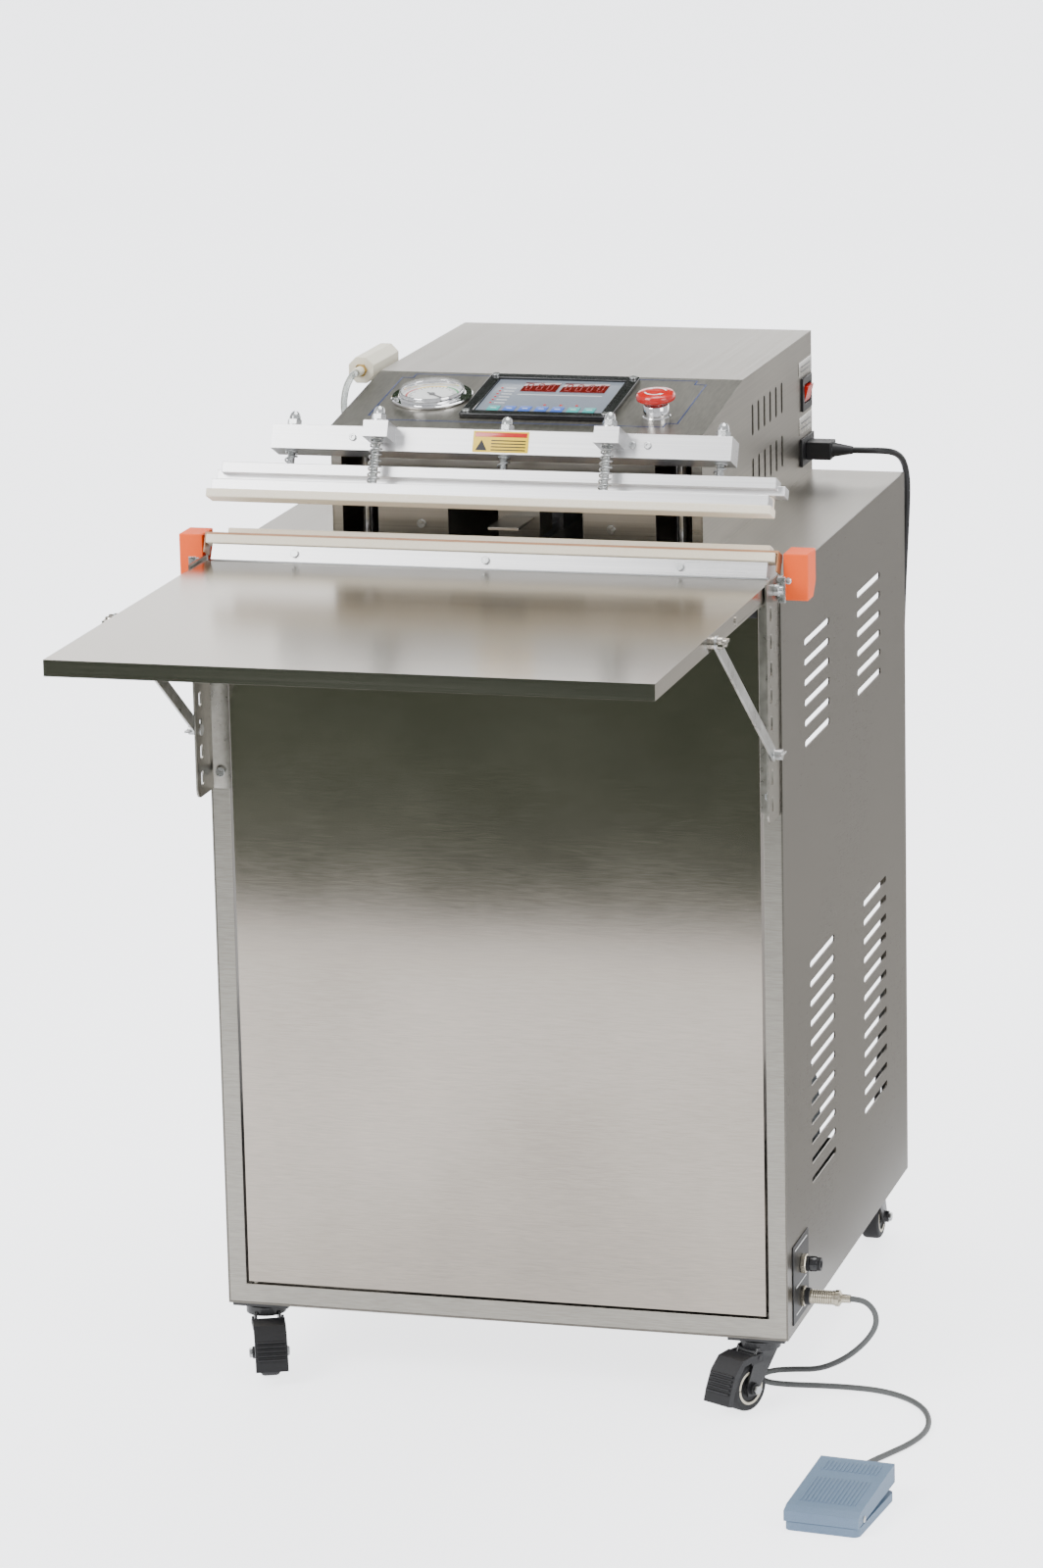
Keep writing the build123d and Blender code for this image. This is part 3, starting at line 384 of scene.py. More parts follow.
CHROME = Finish(
    "polished_chrome", (214, 214, 216), (238, 238, 240),
    "chromed", (0.05, 0.12), 1.0, slow=20.0, bump_mm=0.003,
)
JAW_ALUMINIUM = Finish(
    "jaw_aluminium", (214, 214, 215), (240, 240, 241), "bright_aluminium", (0.26, 0.36), 0.85,
    stretch=(0.05, 6.0, 6.0), fine=80.0, bump_mm=0.01,
)
CYLINDER_ALUMINIUM = Finish(
    "cylinder_aluminium", (168, 168, 170), (196, 196, 198), "bright_aluminium", (0.3, 0.4), 1.0,
)
CREAM_RUBBER = Finish(
    "cream_rubber", (244, 232, 206), (252, 244, 226), "cream_silicone", (0.42, 0.55), fine=400.0,
)
SPONGE = Finish(
    "cream_sponge", (226, 214, 190), (250, 243, 228), "cream_silicone", (0.7, 0.85),
    pattern=Pattern.PORES, fine=520.0, share=0.6, bump_mm=0.25,
)
HEATER_CLOTH = Finish(
    "heater_cloth", (150, 100, 60), (196, 146, 102), "heater_cloth", (0.3, 0.42),
    pattern=Pattern.WEAVE, fine=4200.0, slow=30.0, share=0.45, bump_mm=0.06, coat=0.25,
)
ORANGE = Finish(
    "orange_moulding", (250, 84, 0), (255, 98, 2),
    "orange_moulding", (0.46, 0.56), fine=900.0, bump_mm=0.03,
)
BLACK = Finish(
    "black_moulding", (16, 16, 18), (34, 34, 37),
    "black_moulding", (0.38, 0.52), fine=900.0, bump_mm=0.03,
)
BLACK_GLOSS = Finish(
    "black_gloss", (10, 10, 12), (22, 22, 26), "black_moulding", (0.12, 0.22), slow=12.0, coat=0.3,
)
KEY_SHEET = Finish(
    "key_sheet", (112, 120, 132), (136, 144, 154), "black_moulding", (0.3, 0.4), fine=700.0, coat=0.2,
)
RED_GLOSS = Finish(
    "red_gloss", (186, 20, 16), (214, 34, 26), "red_moulding", (0.16, 0.26), slow=18.0, coat=0.4,
)
WINDOW_RED = Finish(
    "window_red", (92, 8, 8), (108, 12, 12), "red_moulding", (0.06, 0.12), slow=30.0, coat=0.5,
)
DIGIT_RED = Finish("digit_red", (122, 16, 14), (138, 22, 18), "red_moulding", (0.3, 0.4), slow=30.0)
KEY_BLUE = Finish("key_blue", (40, 84, 178), (64, 112, 204), "black_moulding", (0.3, 0.4), fine=500.0)
KEY_TEAL = Finish("key_teal", (38, 150, 150), (60, 176, 170), "black_moulding", (0.3, 0.4), fine=500.0)
LINE_BLUE = Finish("line_blue", (26, 44, 92), (38, 60, 116), "black_moulding", (0.35, 0.45), fine=500.0)
PALE_PRINT = Finish(
    "pale_print", (222, 224, 222), (244, 245, 243), "cream_moulding", (0.4, 0.5), fine=500.0,
)
YELLOW_PRINT = Finish(
    "yellow_print", (236, 196, 30), (250, 214, 52), "cream_moulding", (0.35, 0.45), fine=500.0,
)
GREEN_PRINT = Finish(
    "green_print", (30, 140, 70), (48, 166, 90), "cream_moulding", (0.4, 0.5), fine=500.0,
)
GREY_LABEL = Finish(
    "grey_label", (70, 72, 74), (98, 100, 102), "black_moulding", (0.3, 0.42), 0.3, fine=300.0,
)
LABEL_METAL = Finish(
    "label_metal", (196, 194, 188), (222, 220, 214), "stainless", (0.22, 0.32), 0.9, fine=200.0,
)
CREAM_PLASTIC = Finish(
    "cream_plastic", (226, 220, 198), (240, 235, 216), "cream_moulding", (0.34, 0.46), fine=500.0,
)
BRASS = Finish("brass_nipple", (176, 142, 72), (214, 182, 108), "zinc", (0.18, 0.3), 1.0, slow=60.0)
PEDAL_BLUE = Finish(
    "pedal_blue_grey", (96, 118, 142), (120, 142, 166), "blue_grey_moulding", (0.42, 0.56),
    fine=1100.0, bump_mm=0.05,
)
GREY_JACKET = Finish(
    "grey_jacket", (76, 78, 78), (98, 100, 99), "grey_jacket", (0.45, 0.58), fine=700.0,
)
BLACK_JACKET = Finish(
    "black_jacket", (14, 14, 15), (30, 30, 31), "black_jacket", (0.42, 0.55), fine=700.0,
)
CLEAR_TUBE = Finish(
    "clear_tube", (206, 212, 208), (226, 230, 227), "clear_tube", (0.1, 0.2), slow=20.0, clear=0.7,
)
CLEAR_LENS = Finish(
    "clear_lens", (246, 248, 250), (255, 255, 255),
    "clear_lens", (0.02, 0.05), slow=10.0, bump_mm=0.0, alpha=0.08,
)
TYRE = Finish(
    "black_tyre", (20, 20, 21), (40, 40, 42), "grey_tyre", (0.5, 0.65), fine=700.0, bump_mm=0.05,
)
WHEEL_CREAM = Finish(
    "wheel_cream", (206, 198, 176), (228, 221, 202), "cream_moulding", (0.4, 0.52), fine=400.0,
)
PUMP_PAINT = Finish(
    "pump_paint", (60, 78, 92), (84, 102, 116), "painted_pump", (0.4, 0.52), fine=200.0, bump_mm=0.08,
)
CORE_VARNISH = Finish(
    "core_varnish", (66, 50, 34), (96, 76, 54), "wound_core", (0.45, 0.6), fine=200.0, bump_mm=0.1,
)
STUDIO_FLOOR = Finish(
    "studio_floor", (230, 231, 234), (234, 235, 238),
    "stainless", (0.55, 0.6), slow=0.4, bump_mm=0.0, glow=0.86,
)
# Painted reflection: a dark olive colour for sheets that only reflections see, darkening the reflections in
# the steel.
PAINTED_DARK_REFLECTION = Finish(
    "painted_reflection_sheets", (25, 40, 13), (36, 53, 22), "stainless", (0.7, 0.8), slow=0.6, bump_mm=0.0,
)
# Painted reflection: a mid-grey colour for a sheet that only reflections see.
PAINTED_GREY_REFLECTION = Finish(
    "painted_grey_reflection_floor", (166, 162, 155), (184, 180, 173), "stainless", (0.7, 0.8), slow=0.6, bump_mm=0.0,
)
# Painted reflection: a glowing pale colour for a sheet that only reflections see, a bright band in the steel.
PAINTED_BRIGHT_REFLECTION = Finish(
    "painted_bright_reflection_wall", (246, 244, 242), (252, 250, 248),
    "stainless", (0.7, 0.8), slow=0.6, bump_mm=0.0, glow=1.7,
)
CASTER_BLACK = Finish(
    "caster_black", (20, 20, 21), (42, 42, 44), "black_moulding", (0.26, 0.38), fine=500.0, coat=0.2,
)


# ---------------------------------------------------------------- surfaces
@dataclass
class Surface:
    """Points and faces of one piece, gathered in the cabinet's millimetres."""

    points: list = field(default_factory=list)
    faces: list = field(default_factory=list)
    count: int = 0

    def grid(self, net: np.ndarray, closed_u: bool = False) -> "Surface":
        """Adds a grid of points as quads.

        Args:
            net: points[i, j], i along the surface and j round it.
            closed_u: joins the last i to the first; otherwise each end gets one closing face.

        Returns:
            The surface itself.
        """
        rows, columns = net.shape[:2]
        index = np.arange(rows * columns).reshape(rows, columns) + self.count
        down = np.concatenate([index, index[:1]]) if closed_u else index
        whole = np.concatenate([down, down[:, :1]], axis=1)
        quads = np.stack([whole[:-1, :-1], whole[:-1, 1:], whole[1:, 1:], whole[1:, :-1]], axis=-1)
        self.faces += quads.reshape(-1, 4).tolist()
        if not closed_u:
            self.faces += [index[0][::-1].tolist(), index[-1].tolist()]
        self.points.append(net.reshape(-1, 3))
        self.count += rows * columns
        return self

    def lathe(self, profile: list, place: Place, sides: int = 40, hollow: bool = False) -> "Surface":
        """A turned shape: (r cos a, r sin a, h) for each (r, h) of the profile and each angle a.

        Args:
            profile: radius and height, point by point.
            place: where the shape's axis stands.
            sides: faces round the axis.
            hollow: joins the last point to the first, for a ring with a bore.

        Returns:
            The surface itself.
        """
        r, h = np.array(profile, float).T
        angle = np.linspace(0, 2 * pi, sides, endpoint=False)
        net = np.stack(
            [np.outer(r, np.cos(angle)), np.outer(r, np.sin(angle)), np.outer(h, np.ones(sides))], axis=-1
        )
        return self.grid(place.put(net), closed_u=hollow)

    def brick(
        self, low: tuple, high: tuple, radius: float, place: Place = FLOOR, steps: int = 3
    ) -> "Surface":
        """A box with rounded edges: each corner's centre plus radius times the outward unit direction."""
        low, high = np.array(low, float), np.array(high, float)
        half = (high - low) / 2 - radius
        quarter = np.linspace(0, pi / 2, steps + 1)
        around = np.concatenate([quarter + k * pi / 2 for k in range(4)])
        sign_x = np.repeat([1, -1, -1, 1], steps + 1)
        sign_y = np.repeat([1, 1, -1, -1], steps + 1)
        lift = np.concatenate([quarter - pi / 2, quarter])
        sign_z = np.repeat([-1, 1], steps + 1)
        ring = radius * np.cos(lift)[:, None]
        shape = (len(lift), len(around))
        net = np.stack(
            [
                sign_x * half[0] + ring * np.cos(around),
                sign_y * half[1] + ring * np.sin(around),
                np.broadcast_to((sign_z * half[2] + radius * np.sin(lift))[:, None], shape),
            ],
            axis=-1,
        )
        return self.grid(place.put(net + (low + high) / 2))

    def plate(self, outline: list, bottom: float, top: float, place: Place) -> "Surface":
        """A flat outline in local x and y, carried from one height to another."""
        flat = np.array(outline, float)
        net = np.stack([np.c_[flat, np.full(len(flat), h)] for h in (bottom, top)])
        return self.grid(place.put(net))

    def coil(self, place: Place, length: float, radius: float, wire: float, turns: float) -> "Surface":
        """A spring: a circle of the wire's radius round a helix whose end turns lie flat."""
        t = np.linspace(0, 1, int(turns * 20) + 1)
        angle = 2 * pi * turns * t
        rise = np.clip((t * turns - 0.9) / (turns - 1.8), 0, 1)
        centre_z = wire + (length - 2 * wire) * rise
        face = np.linspace(0, 2 * pi, 8, endpoint=False)
        reach = radius + wire * np.cos(face)
        net = np.stack(
            [
                np.outer(np.cos(angle), reach),
                np.outer(np.sin(angle), reach),
                centre_z[:, None] + wire * np.sin(face)[None, :],
            ],
            axis=-1,
        )
        return self.grid(place.put(net))

    def sector(
        self, place: Place, inner: float, outer: float, start: float, end: float, bottom: float, top: float
    ) -> "Surface":
        """A slice of a flat ring between two angles in degrees, as a closed thin solid."""
        angle = np.radians(np.linspace(start, end, max(3, int(abs(end - start) / 6))))
        corners = [(inner, bottom), (outer, bottom), (outer, top), (inner, top)]
        edges = [(r * np.cos(angle), r * np.sin(angle), np.full_like(angle, h)) for r, h in corners]
        net = np.stack([np.stack(edge, -1) for edge in edges], 1)
        return self.grid(place.put(net))

    def piece(
        self, name: str, finish: Finish, body: str, replaces: tuple = (), bevel_mm: float = 0.0,
        smooth: float = 32.0,
    ) -> bpy.types.Object:
        """Makes the object, dresses it and lets it ride on a body.

        Args:
            name: the piece's name.
            finish: its material.
            body: the CAD body it moves with.
            replaces: CAD nodes it stands for.
            bevel_mm: width of a bevel on its sharp edges, none at 0.
            smooth: edges sharper than this many degrees stay sharp.

        Returns:
            The new object.
        """
        mesh = bpy.data.meshes.new(name)
        mesh.from_pydata(metres(np.concatenate(self.points)).tolist(), [], self.faces)
        return finish_piece(mesh, name, finish, body, replaces, bevel_mm, smooth)


def finish_piece(
    mesh: bpy.types.Mesh, name: str, finish: Finish, body: str, replaces: tuple, bevel_mm: float,
    smooth: float,
) -> bpy.types.Object:
    """Welds a mesh, turns its faces outwards, gives it its finish and puts it on its body."""
    work = bmesh.new()
    work.from_mesh(mesh)
    bmesh.ops.remove_doubles(work, verts=work.verts, dist=2e-6)
    if replaces and bevel_mm:
        bmesh.ops.dissolve_limit(work, angle_limit=radians(0.6), verts=work.verts, edges=work.edges)
    bmesh.ops.recalc_face_normals(work, faces=work.faces)
    work.to_mesh(mesh)
    work.free()
    mesh.shade_smooth()
    mesh.set_sharp_from_angle(angle=radians(smooth))
    thing = bpy.data.objects.new(name, mesh)
    bpy.context.scene.collection.objects.link(thing)
    thing.data.materials.clear()
    thing.data.materials.append(finish.build())
    if bevel_mm:
        bevel = thing.modifiers.new("edge", "BEVEL")
        bevel.width = bevel_mm / 1000.0
        bevel.segments = 2
        bevel.limit_method = "ANGLE"
        bevel.angle_limit = radians(35)
    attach(thing, body)
    if replaces:
        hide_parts(*replaces)
    log.info("piece %s on %s", name, body)
    return thing


def dress(node: str, finish: Finish) -> None:
    """Gives a CAD node its finish."""
    mesh = frame["nodes"][node].data
    mesh.materials.clear()
    mesh.materials.append(finish.build())
    log.info("dressed %s", node)


def softened(node: str, finish: Finish, bevel_mm: float) -> bpy.types.Object:
    """A welded copy of a CAD node with its sharp edges rounded over."""
    mesh = frame["nodes"][node].data.copy()
    return finish_piece(mesh, f"{node}_skin", finish, BODY_OF[node], (node,), bevel_mm, 32.0)


# ---------------------------------------------------------------- cords
def cord_curve(name: str, route: list, diameter: float, finish: Finish) -> bpy.types.Object:
    """A round cord on one smooth spline through the space of its route's points."""
    curve = bpy.data.curves.new(name, "CURVE")
    curve.dimensions = "3D"
    spline = curve.splines.new("NURBS")
    spline.points.add(len(route) - 1)
    for point, place in zip(spline.points, metres(np.array(route))):
        point.co = (*place, 1.0)
    spline.order_u = 3
    spline.use_endpoint_u = True
    spline.resolution_u = 10
    curve.bevel_depth = diameter / 2000.0
    curve.bevel_resolution = 4
    curve.use_fill_caps = True
    thing = bpy.data.objects.new(name, curve)
    bpy.context.scene.collection.objects.link(thing)
    thing.data.materials.append(finish.build())
    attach(thing, "machine")
    return thing


@dataclass
class Cords:
    """The pedal's lead and the mains lead with its coil on the floor."""

    pedal_diameter: float = 6.0
    power_diameter: float = 7.0
    pedal_route: list = field(
        default_factory=lambda: [
            (352.0, 61.0, 104.0), (363.0, 61.0, 104.0), (372.5, 61.0, 98.5), (378.0, 62.0, 89.0),
            (378.0, 64.0, 77.0), (371.0, 68.0, 63.0), (357.0, 75.0, 46.0), (337.0, 86.0, 28.0),
            (309.0, 102.0, 10.5),
            (278.0, 117.0, 3.2), (257.0, 109.0, 3.2), (247.0, 89.5, 3.2), (259.0, 72.0, 3.2),
            (282.0, 69.5, 3.2), (311.0, 73.0, 3.2), (345.0, 75.0, 3.2), (380.0, 72.0, 3.2),
            (411.0, 56.0, 3.2), (434.0, 30.0, 3.2), (447.0, -3.0, 3.2), (451.0, -38.0, 3.2),
            (443.0, -74.0, 3.2), (428.0, -106.0, 3.2), (413.0, -136.0, 3.2), (405.0, -165.0, 3.4),
            (404.0, -190.0, 5.5), (407.0, -212.5, 9.0),
        ]
    )
    power_route: list = field(
        default_factory=lambda: [
            (250.0, 570.0, 893.0), (262.0, 570.0, 893.0), (277.0, 574.0, 892.5), (288.0, 585.0, 890.0),
            (294.0, 600.0, 884.0), (297.0, 615.0, 873.0), (298.0, 625.0, 855.0), (297.0, 630.0, 829.0),
            (295.0, 629.0, 788.0), (292.0, 630.0, 735.0), (290.0, 628.0, 672.0), (285.0, 630.0, 606.0),
            (282.0, 628.0, 536.0), (277.0, 630.0, 466.0), (274.0, 629.0, 396.0), (269.0, 631.0, 326.0),
            (266.0, 630.0, 256.0), (261.0, 633.0, 190.0), (257.0, 638.0, 132.0), (251.0, 645.0, 86.0),
            (244.0, 657.0, 51.0), (235.0, 674.0, 26.0), (221.5, 694.0, 10.0), (206.0, 712.0, 3.8),
        ]
    )
    coil_centre: tuple = (150.0, 694.0)
    coil_turns: tuple = (45.0, 1052.0)

    def wound_points(self) -> list:
        """The coil: radius and height as functions of the angle, in two lanes and a third on top."""
        angle = np.linspace(*self.coil_turns, 38)
        bends = [45, 85, 330, 400, 690, 760, 1052]
        radius = np.interp(angle, bends, [51.5, 47.4, 47.2, 40.0, 40.0, 43.6, 43.6])
        height = np.interp(angle, [45, 690, 752, 960, 1052], [3.8, 3.8, 11.4, 12.6, 23.8])
        a = np.radians(angle)
        x = self.coil_centre[0] + radius * np.cos(a)
        y = self.coil_centre[1] + radius * np.sin(a)
        return np.stack([x, y, height], axis=-1).tolist() + [[193.0, 679.0, 24.5]]

    def build(self) -> None:
        pedal = cord_curve("pedal_lead", self.pedal_route, self.pedal_diameter, GREY_JACKET)
        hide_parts("pedal_cord")
        whole_route = self.power_route + self.wound_points()
        power = cord_curve("mains_lead", whole_route, self.power_diameter, BLACK_JACKET)
        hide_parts("power_cord", "power_cord_coil")
        screw_ring = [(0, 0), (7.5, 0), (7.5, 2)]
        for k in range(9):
            screw_ring += [(7.5, 2.4 + 2.4 * k), (6.9, 3.2 + 2.4 * k), (7.5, 4.0 + 2.4 * k)]
        screw_ring += [(7.5, 26), (8.5, 26.6), (8.5, 30.4), (7.6, 31), (4.5, 33), (4.2, 42), (0, 42)]
        plug = Surface().lathe(screw_ring, along((310.0, 61.0, 104.0), "+x")).piece(
            "pedal_plug", NICKEL, "machine", ("pedal_connector",)
        )
        appliance = softened("power_connector", BLACK, 0.8)
        mains = softened("mains_plug", BLACK, 0.7)


# ---------------------------------------------------------------- cabinet
@dataclass
class Cabinet:
    """The wheeled box: sheets, frames, door, brackets and what stands inside."""

    edge: float = 0.5

    def build(self) -> None:
        """Dresses the sheets and rounds the edges that show."""
        # Painted shade: the side and base sheets get the darker copy of the stainless.
        dress("left_side_panel", SHADED_SIDE_STEEL)
        dress("right_side_panel", SHADED_SIDE_STEEL)
        dress("deck_panel", HEAD_STEEL)
        dress("base_panel", SHADED_SIDE_STEEL)
        softened("front_frame", FRAME_STEEL, self.edge)
        softened("rear_frame", FRAME_STEEL, self.edge)
        softened("front_door", DOOR_STEEL, self.edge)
        softened("slotted_brackets", BRACKET_STEEL, 0.35)
        softened("vacuum_pump", PUMP_PAINT, 4.0)
        softened("electrical_unit", CORE_VARNISH, 1.0)
        latch = Surface().brick((267, -1.2, 828), (276, 0.4, 838), 0.5)
        latch.piece("door_catch", BLACK, "door")
        self.ports()

    def ports(self) -> None:
        """The label plate with its air fitting and pedal socket."""
        x = CABINET_HALF
        softened("port_plate", BLACK, 0.4)
        print_lines = Surface()
        for y0, y1, z in ((30, 84, 162), (34, 80, 121), (34, 80, 92)):
            print_lines.brick((x + 1.15, y0, z - 0.6), (x + 1.35, y1, z + 0.6), 0.08)
        print_lines.piece("port_marks", PALE_PRINT, "machine")
        collar = [(7.05, 10), (8.2, 11), (8.2, 17), (7.4, 18.5), (7.1, 18.5), (7.1, 10)]
        ring = Surface().lathe(collar, along((x, 59, 140), "+x"), hollow=True)
        ring.piece("air_collar", BLACK_GLOSS, "machine")
        nuts = Surface()
        air_nut = [(8.05, 1.2), (9.8, 1.2), (10.4, 2.0), (10.4, 6.2), (9.8, 7), (8.05, 7)]
        socket_nut = [(9.05, 1.2), (10.6, 1.2), (10.9, 2), (10.9, 4.4), (9.05, 5.2)]
        nuts.lathe(air_nut, along((x, 59, 140), "+x"), 6, hollow=True)
        nuts.lathe(socket_nut, along((x, 61, 104), "+x"), 28, hollow=True)
        nuts.piece("port_nuts", NICKEL, "machine")


# ---------------------------------------------------------------- head
@dataclass
class Head:
    """The control box: its cover, gauge, controller, stop button, switch and filter."""

    gauge: tuple = (-111.7, 99.0)
    stop: tuple = (139.0, 52.0)
    keys: tuple = (-35.7, -18.9, -2.2, 14.9, 32.0, 48.9, 65.7)

    def build(self) -> None:
        """Builds the head in the order it is put together."""
        dress("head_shell", HEAD_STEEL)
        softened("head_front_plate", FRONT_STEEL, 0.3)
        self.vacuum_gauge()
        self.controller()
        self.outline()
        self.stop_button()
        self.side_fittings()
        softened("machine_screws", BOLT_ZINC, 0.4)

    def vacuum_gauge(self) -> None:
        """The gauge's polished flange, dial with its coloured arc and ticks, and the clear dome."""
        at = SLOPE.at(*self.gauge, 0)
        case = [(0, -42), (6, -42), (6, -26), (30.5, -25.5), (30.5, 0), (41.6, 0), (42.5, 1)]
        case += [(42.5, 2.6), (41.4, 3.5), (35.2, 3.5), (34.0, 4.6), (34.0, 7.6), (33.2, 9.0)]
        case += [(31.9, 9.0), (31.5, 8.2), (31.5, 3.0), (0, 3.0)]
        body = Surface().lathe(case, at, 72)
        body.lathe([(0, 3), (1.2, 3), (1.2, 5.3), (0, 5.5)], at, 20)
        body.piece("gauge_body", CHROME, "machine", ("gauge_case",))
        dial = Surface().lathe([(0, 3.02), (31.3, 3.02), (31.3, 3.25), (0, 3.25)], at, 64)
        dial.piece("gauge_dial", PALE_PRINT, "machine")
        for name, finish, start, end in (
            ("gauge_arc_green", GREEN_PRINT, -45, 70), ("gauge_arc_yellow", YELLOW_PRINT, 70, 140),
            ("gauge_arc_red", RED_GLOSS, 140, 225),
        ):
            Surface().sector(at, 25.5, 28.0, start, end, 3.25, 3.36).piece(name, finish, "machine")
        ticks = Surface()
        for k in range(28):
            angle = radians(-45 + 10 * k)
            long = 4.5 if k % 3 == 0 else 2.6
            c, s = cos(angle), sin(angle)
            rows = np.array([[c, s, 0], [-s, c, 0], [0, 0, 1]]) @ np.array(at.axes)
            turned_place = Place(at.origin, tuple(map(tuple, rows)))
            mark = [(24.6 - long, -0.5), (24.6, -0.5), (24.6, 0.5), (24.6 - long, 0.5)]
            ticks.plate(mark, 3.25, 3.36, turned_place)
        ticks.piece("gauge_ticks", BLACK, "machine")
        dome = [(33.5, 9.0), (33.5, 10.0), (32.0, 11.8), (26, 12.9), (14, 13.4), (0, 13.5)]
        dome += [(0, 12.5), (14, 12.4), (25.5, 11.9), (31, 10.6), (31.4, 9.0)]
        Surface().lathe(dome, at, 64, hollow=True).piece("gauge_dome", CLEAR_LENS, "machine", ("gauge_lens",))
        dress("gauge_needle", BLACK)

    def controller(self) -> None:
        """The controller: frame, key sheet, two number windows, keys and small lamps."""
        softened("display_unit", BLACK_GLOSS, 0.8)
        sheet = Surface().brick((-53.6, 50.4, 2.45), (80.6, 155.6, 2.75), 0.14, SLOPE)
        sheet.piece("key_sheet", KEY_SHEET, "machine")
        rule = Surface().brick((-23, 108, 2.7), (67, 109, 2.9), 0.09, SLOPE)
        rule.piece("sheet_marks", PALE_PRINT, "machine")
        windows, digits = Surface(), Surface()
        for x0, wide in ((-23, 38), (19, 48)):
            windows.brick((x0, 118, 2.7), (x0 + wide, 146, 3.3), 0.25, SLOPE)
            for k in range(wide // 12):
                self.numeral(digits, x0 + 4.0 + 11.5 * k)
        windows.piece("number_windows", WINDOW_RED, "machine")
        digits.piece("number_digits", DIGIT_RED, "machine")
        groups = (("teal_keys", KEY_TEAL, (0, 5, 6)), ("blue_keys", KEY_BLUE, (1, 2, 3, 4)))
        for name, finish, chosen in groups:
            keys = Surface()
            for k in chosen:
                keys.brick((self.keys[k] - 6.2, 54, 2.6), (self.keys[k] + 6.2, 69, 3.6), 0.45, SLOPE)
            keys.piece(name, finish, "machine")
        lamps = Surface()
        for x in self.keys[3:6]:
            lamps.lathe([(1.6, 2.7), (1.6, 3.2), (0, 3.8)], SLOPE.at(x, 76, 0), 16)
        for k in range(6):
            lamps.lathe([(1.3, 2.7), (1.3, 3.1), (0, 3.5)], SLOPE.at(-44, 80 + 9.5 * k, 0), 16)
        lamps.piece("small_lamps", RED_GLOSS, "machine")
        bars = Surface()
        for k in range(6):
            bars.brick((-40, 79.3 + 9.5 * k, 2.7), (-29, 80.7 + 9.5 * k, 2.88), 0.08, SLOPE)
        for x in self.keys:
            bars.brick((x - 3, 60.8, 3.5), (x + 3, 62.2, 3.7), 0.08, SLOPE)
        bars.piece("lamp_marks", PALE_PRINT, "machine")

    def numeral(self, digits: Surface, x: float) -> None:
        """One zero of six lit bars."""
        for x0, s0, x1, s1 in (
            (0.8, 121.4, 4.8, 122.8), (0.8, 141.2, 4.8, 142.6), (-0.4, 122.8, 1.0, 131.6),
            (-0.4, 132.4, 1.0, 141.2), (4.6, 122.8, 6.0, 131.6), (4.6, 132.4, 6.0, 141.2),
        ):
            digits.brick((x + x0, s0, 3.25), (x + x1, s1, 3.45), 0.09, SLOPE)

    def outline(self) -> None:
        """The printed line round the panel, with a step at each corner."""
        line = Surface()
        w = 0.7
        for s in (25, 174):
            line.brick((-150, s - w, -0.1), (152, s + w, 0.12), 0.05, SLOPE)
        for x in (-162, 164):
            line.brick((x - w, 37, -0.1), (x + w, 162, 0.12), 0.05, SLOPE)
        for x0, x1 in ((-163, -150), (152, 165)):
            for s in (37, 162):
                line.brick((x0, s - w, -0.1), (x1, s + w, 0.12), 0.05, SLOPE)
        for x in (-150, 152):
            line.brick((x - w, 24.3, -0.1), (x + w, 37.7, 0.12), 0.05, SLOPE)
            line.brick((x - w, 161.3, -0.1), (x + w, 174.7, 0.12), 0.05, SLOPE)
        line.piece("panel_line", LINE_BLUE, "machine")

    def stop_button(self) -> None:
        """The mushroom button with two curved arrows, on its bright collar."""
        at = SLOPE.at(*self.stop, 0)
        collar = [(6.1, -12), (11, -12), (11, 0), (14.5, 0), (14.5, 3), (13.6, 4.2), (13.2, 13.8)]
        collar += [(12.4, 15), (6.1, 15)]
        barrel = Surface().lathe(collar, at, 48, hollow=True)
        barrel.piece("stop_collar", CHROME, "machine", ("estop_collar",))
        Surface().brick((-15, -12, -46), (15, 12, -12), 1.0, at).piece("stop_contacts", BLACK, "machine")
        head = [(0, -6), (6, -6), (6, 20), (18.2, 20), (19.6, 21), (20, 23), (19.8, 25.5), (18.4, 27.4)]
        head += [(15, 28.5), (9, 28.9), (0, 29)]
        Surface().lathe(head, at, 56).piece("stop_head", RED_GLOSS, "estop", ("estop_head",))
        arrows = Surface()
        for start in (20, 200):
            arrows.sector(at, 9.8, 11.6, start, start + 105, 28.55, 28.98)
            tip = radians(start + 105)
            radial, tangent = np.array([cos(tip), sin(tip)]), np.array([-sin(tip), cos(tip)])
            corners = [radial * 8.2, radial * 13.2, radial * 10.7 + tangent * 4.6]
            arrows.plate([tuple(c) for c in corners], 28.4, 28.97, at)
        arrows.piece("stop_arrows", PALE_PRINT, "estop")

    def side_fittings(self) -> None:
        """Switch, inlet and label plates on the right side, filter and its tube on the left."""
        x = 198.0
        softened("switch_and_inlet", BLACK, 0.5)
        softened("rocker_switch", RED_GLOSS, 0.5)
        labels = Surface().brick((x - 0.1, 537, 976), (x + 0.7, 598, 992), 0.3)
        labels.brick((x - 0.1, 537, 913), (x + 0.7, 598, 932), 0.3)
        labels.piece("side_labels", LABEL_METAL, "machine")
        marks = Surface()
        for z in (981, 986, 919, 925):
            marks.brick((x + 0.65, 545, z - 0.7), (x + 0.8, 590, z + 0.7), 0.06)
        marks.piece("label_marks", GREY_LABEL, "machine")
        pins = Surface()
        softened("filter_block", CREAM_PLASTIC, 0.8)
        pins.lathe([(0, 0), (7, 0), (7, 4), (0, 4)], along((-215, 284, 1017), "-y"), 6)
        pins.piece("filter_nut", BRASS, "machine")
        softened("filter_tube", CLEAR_TUBE, 0.0)


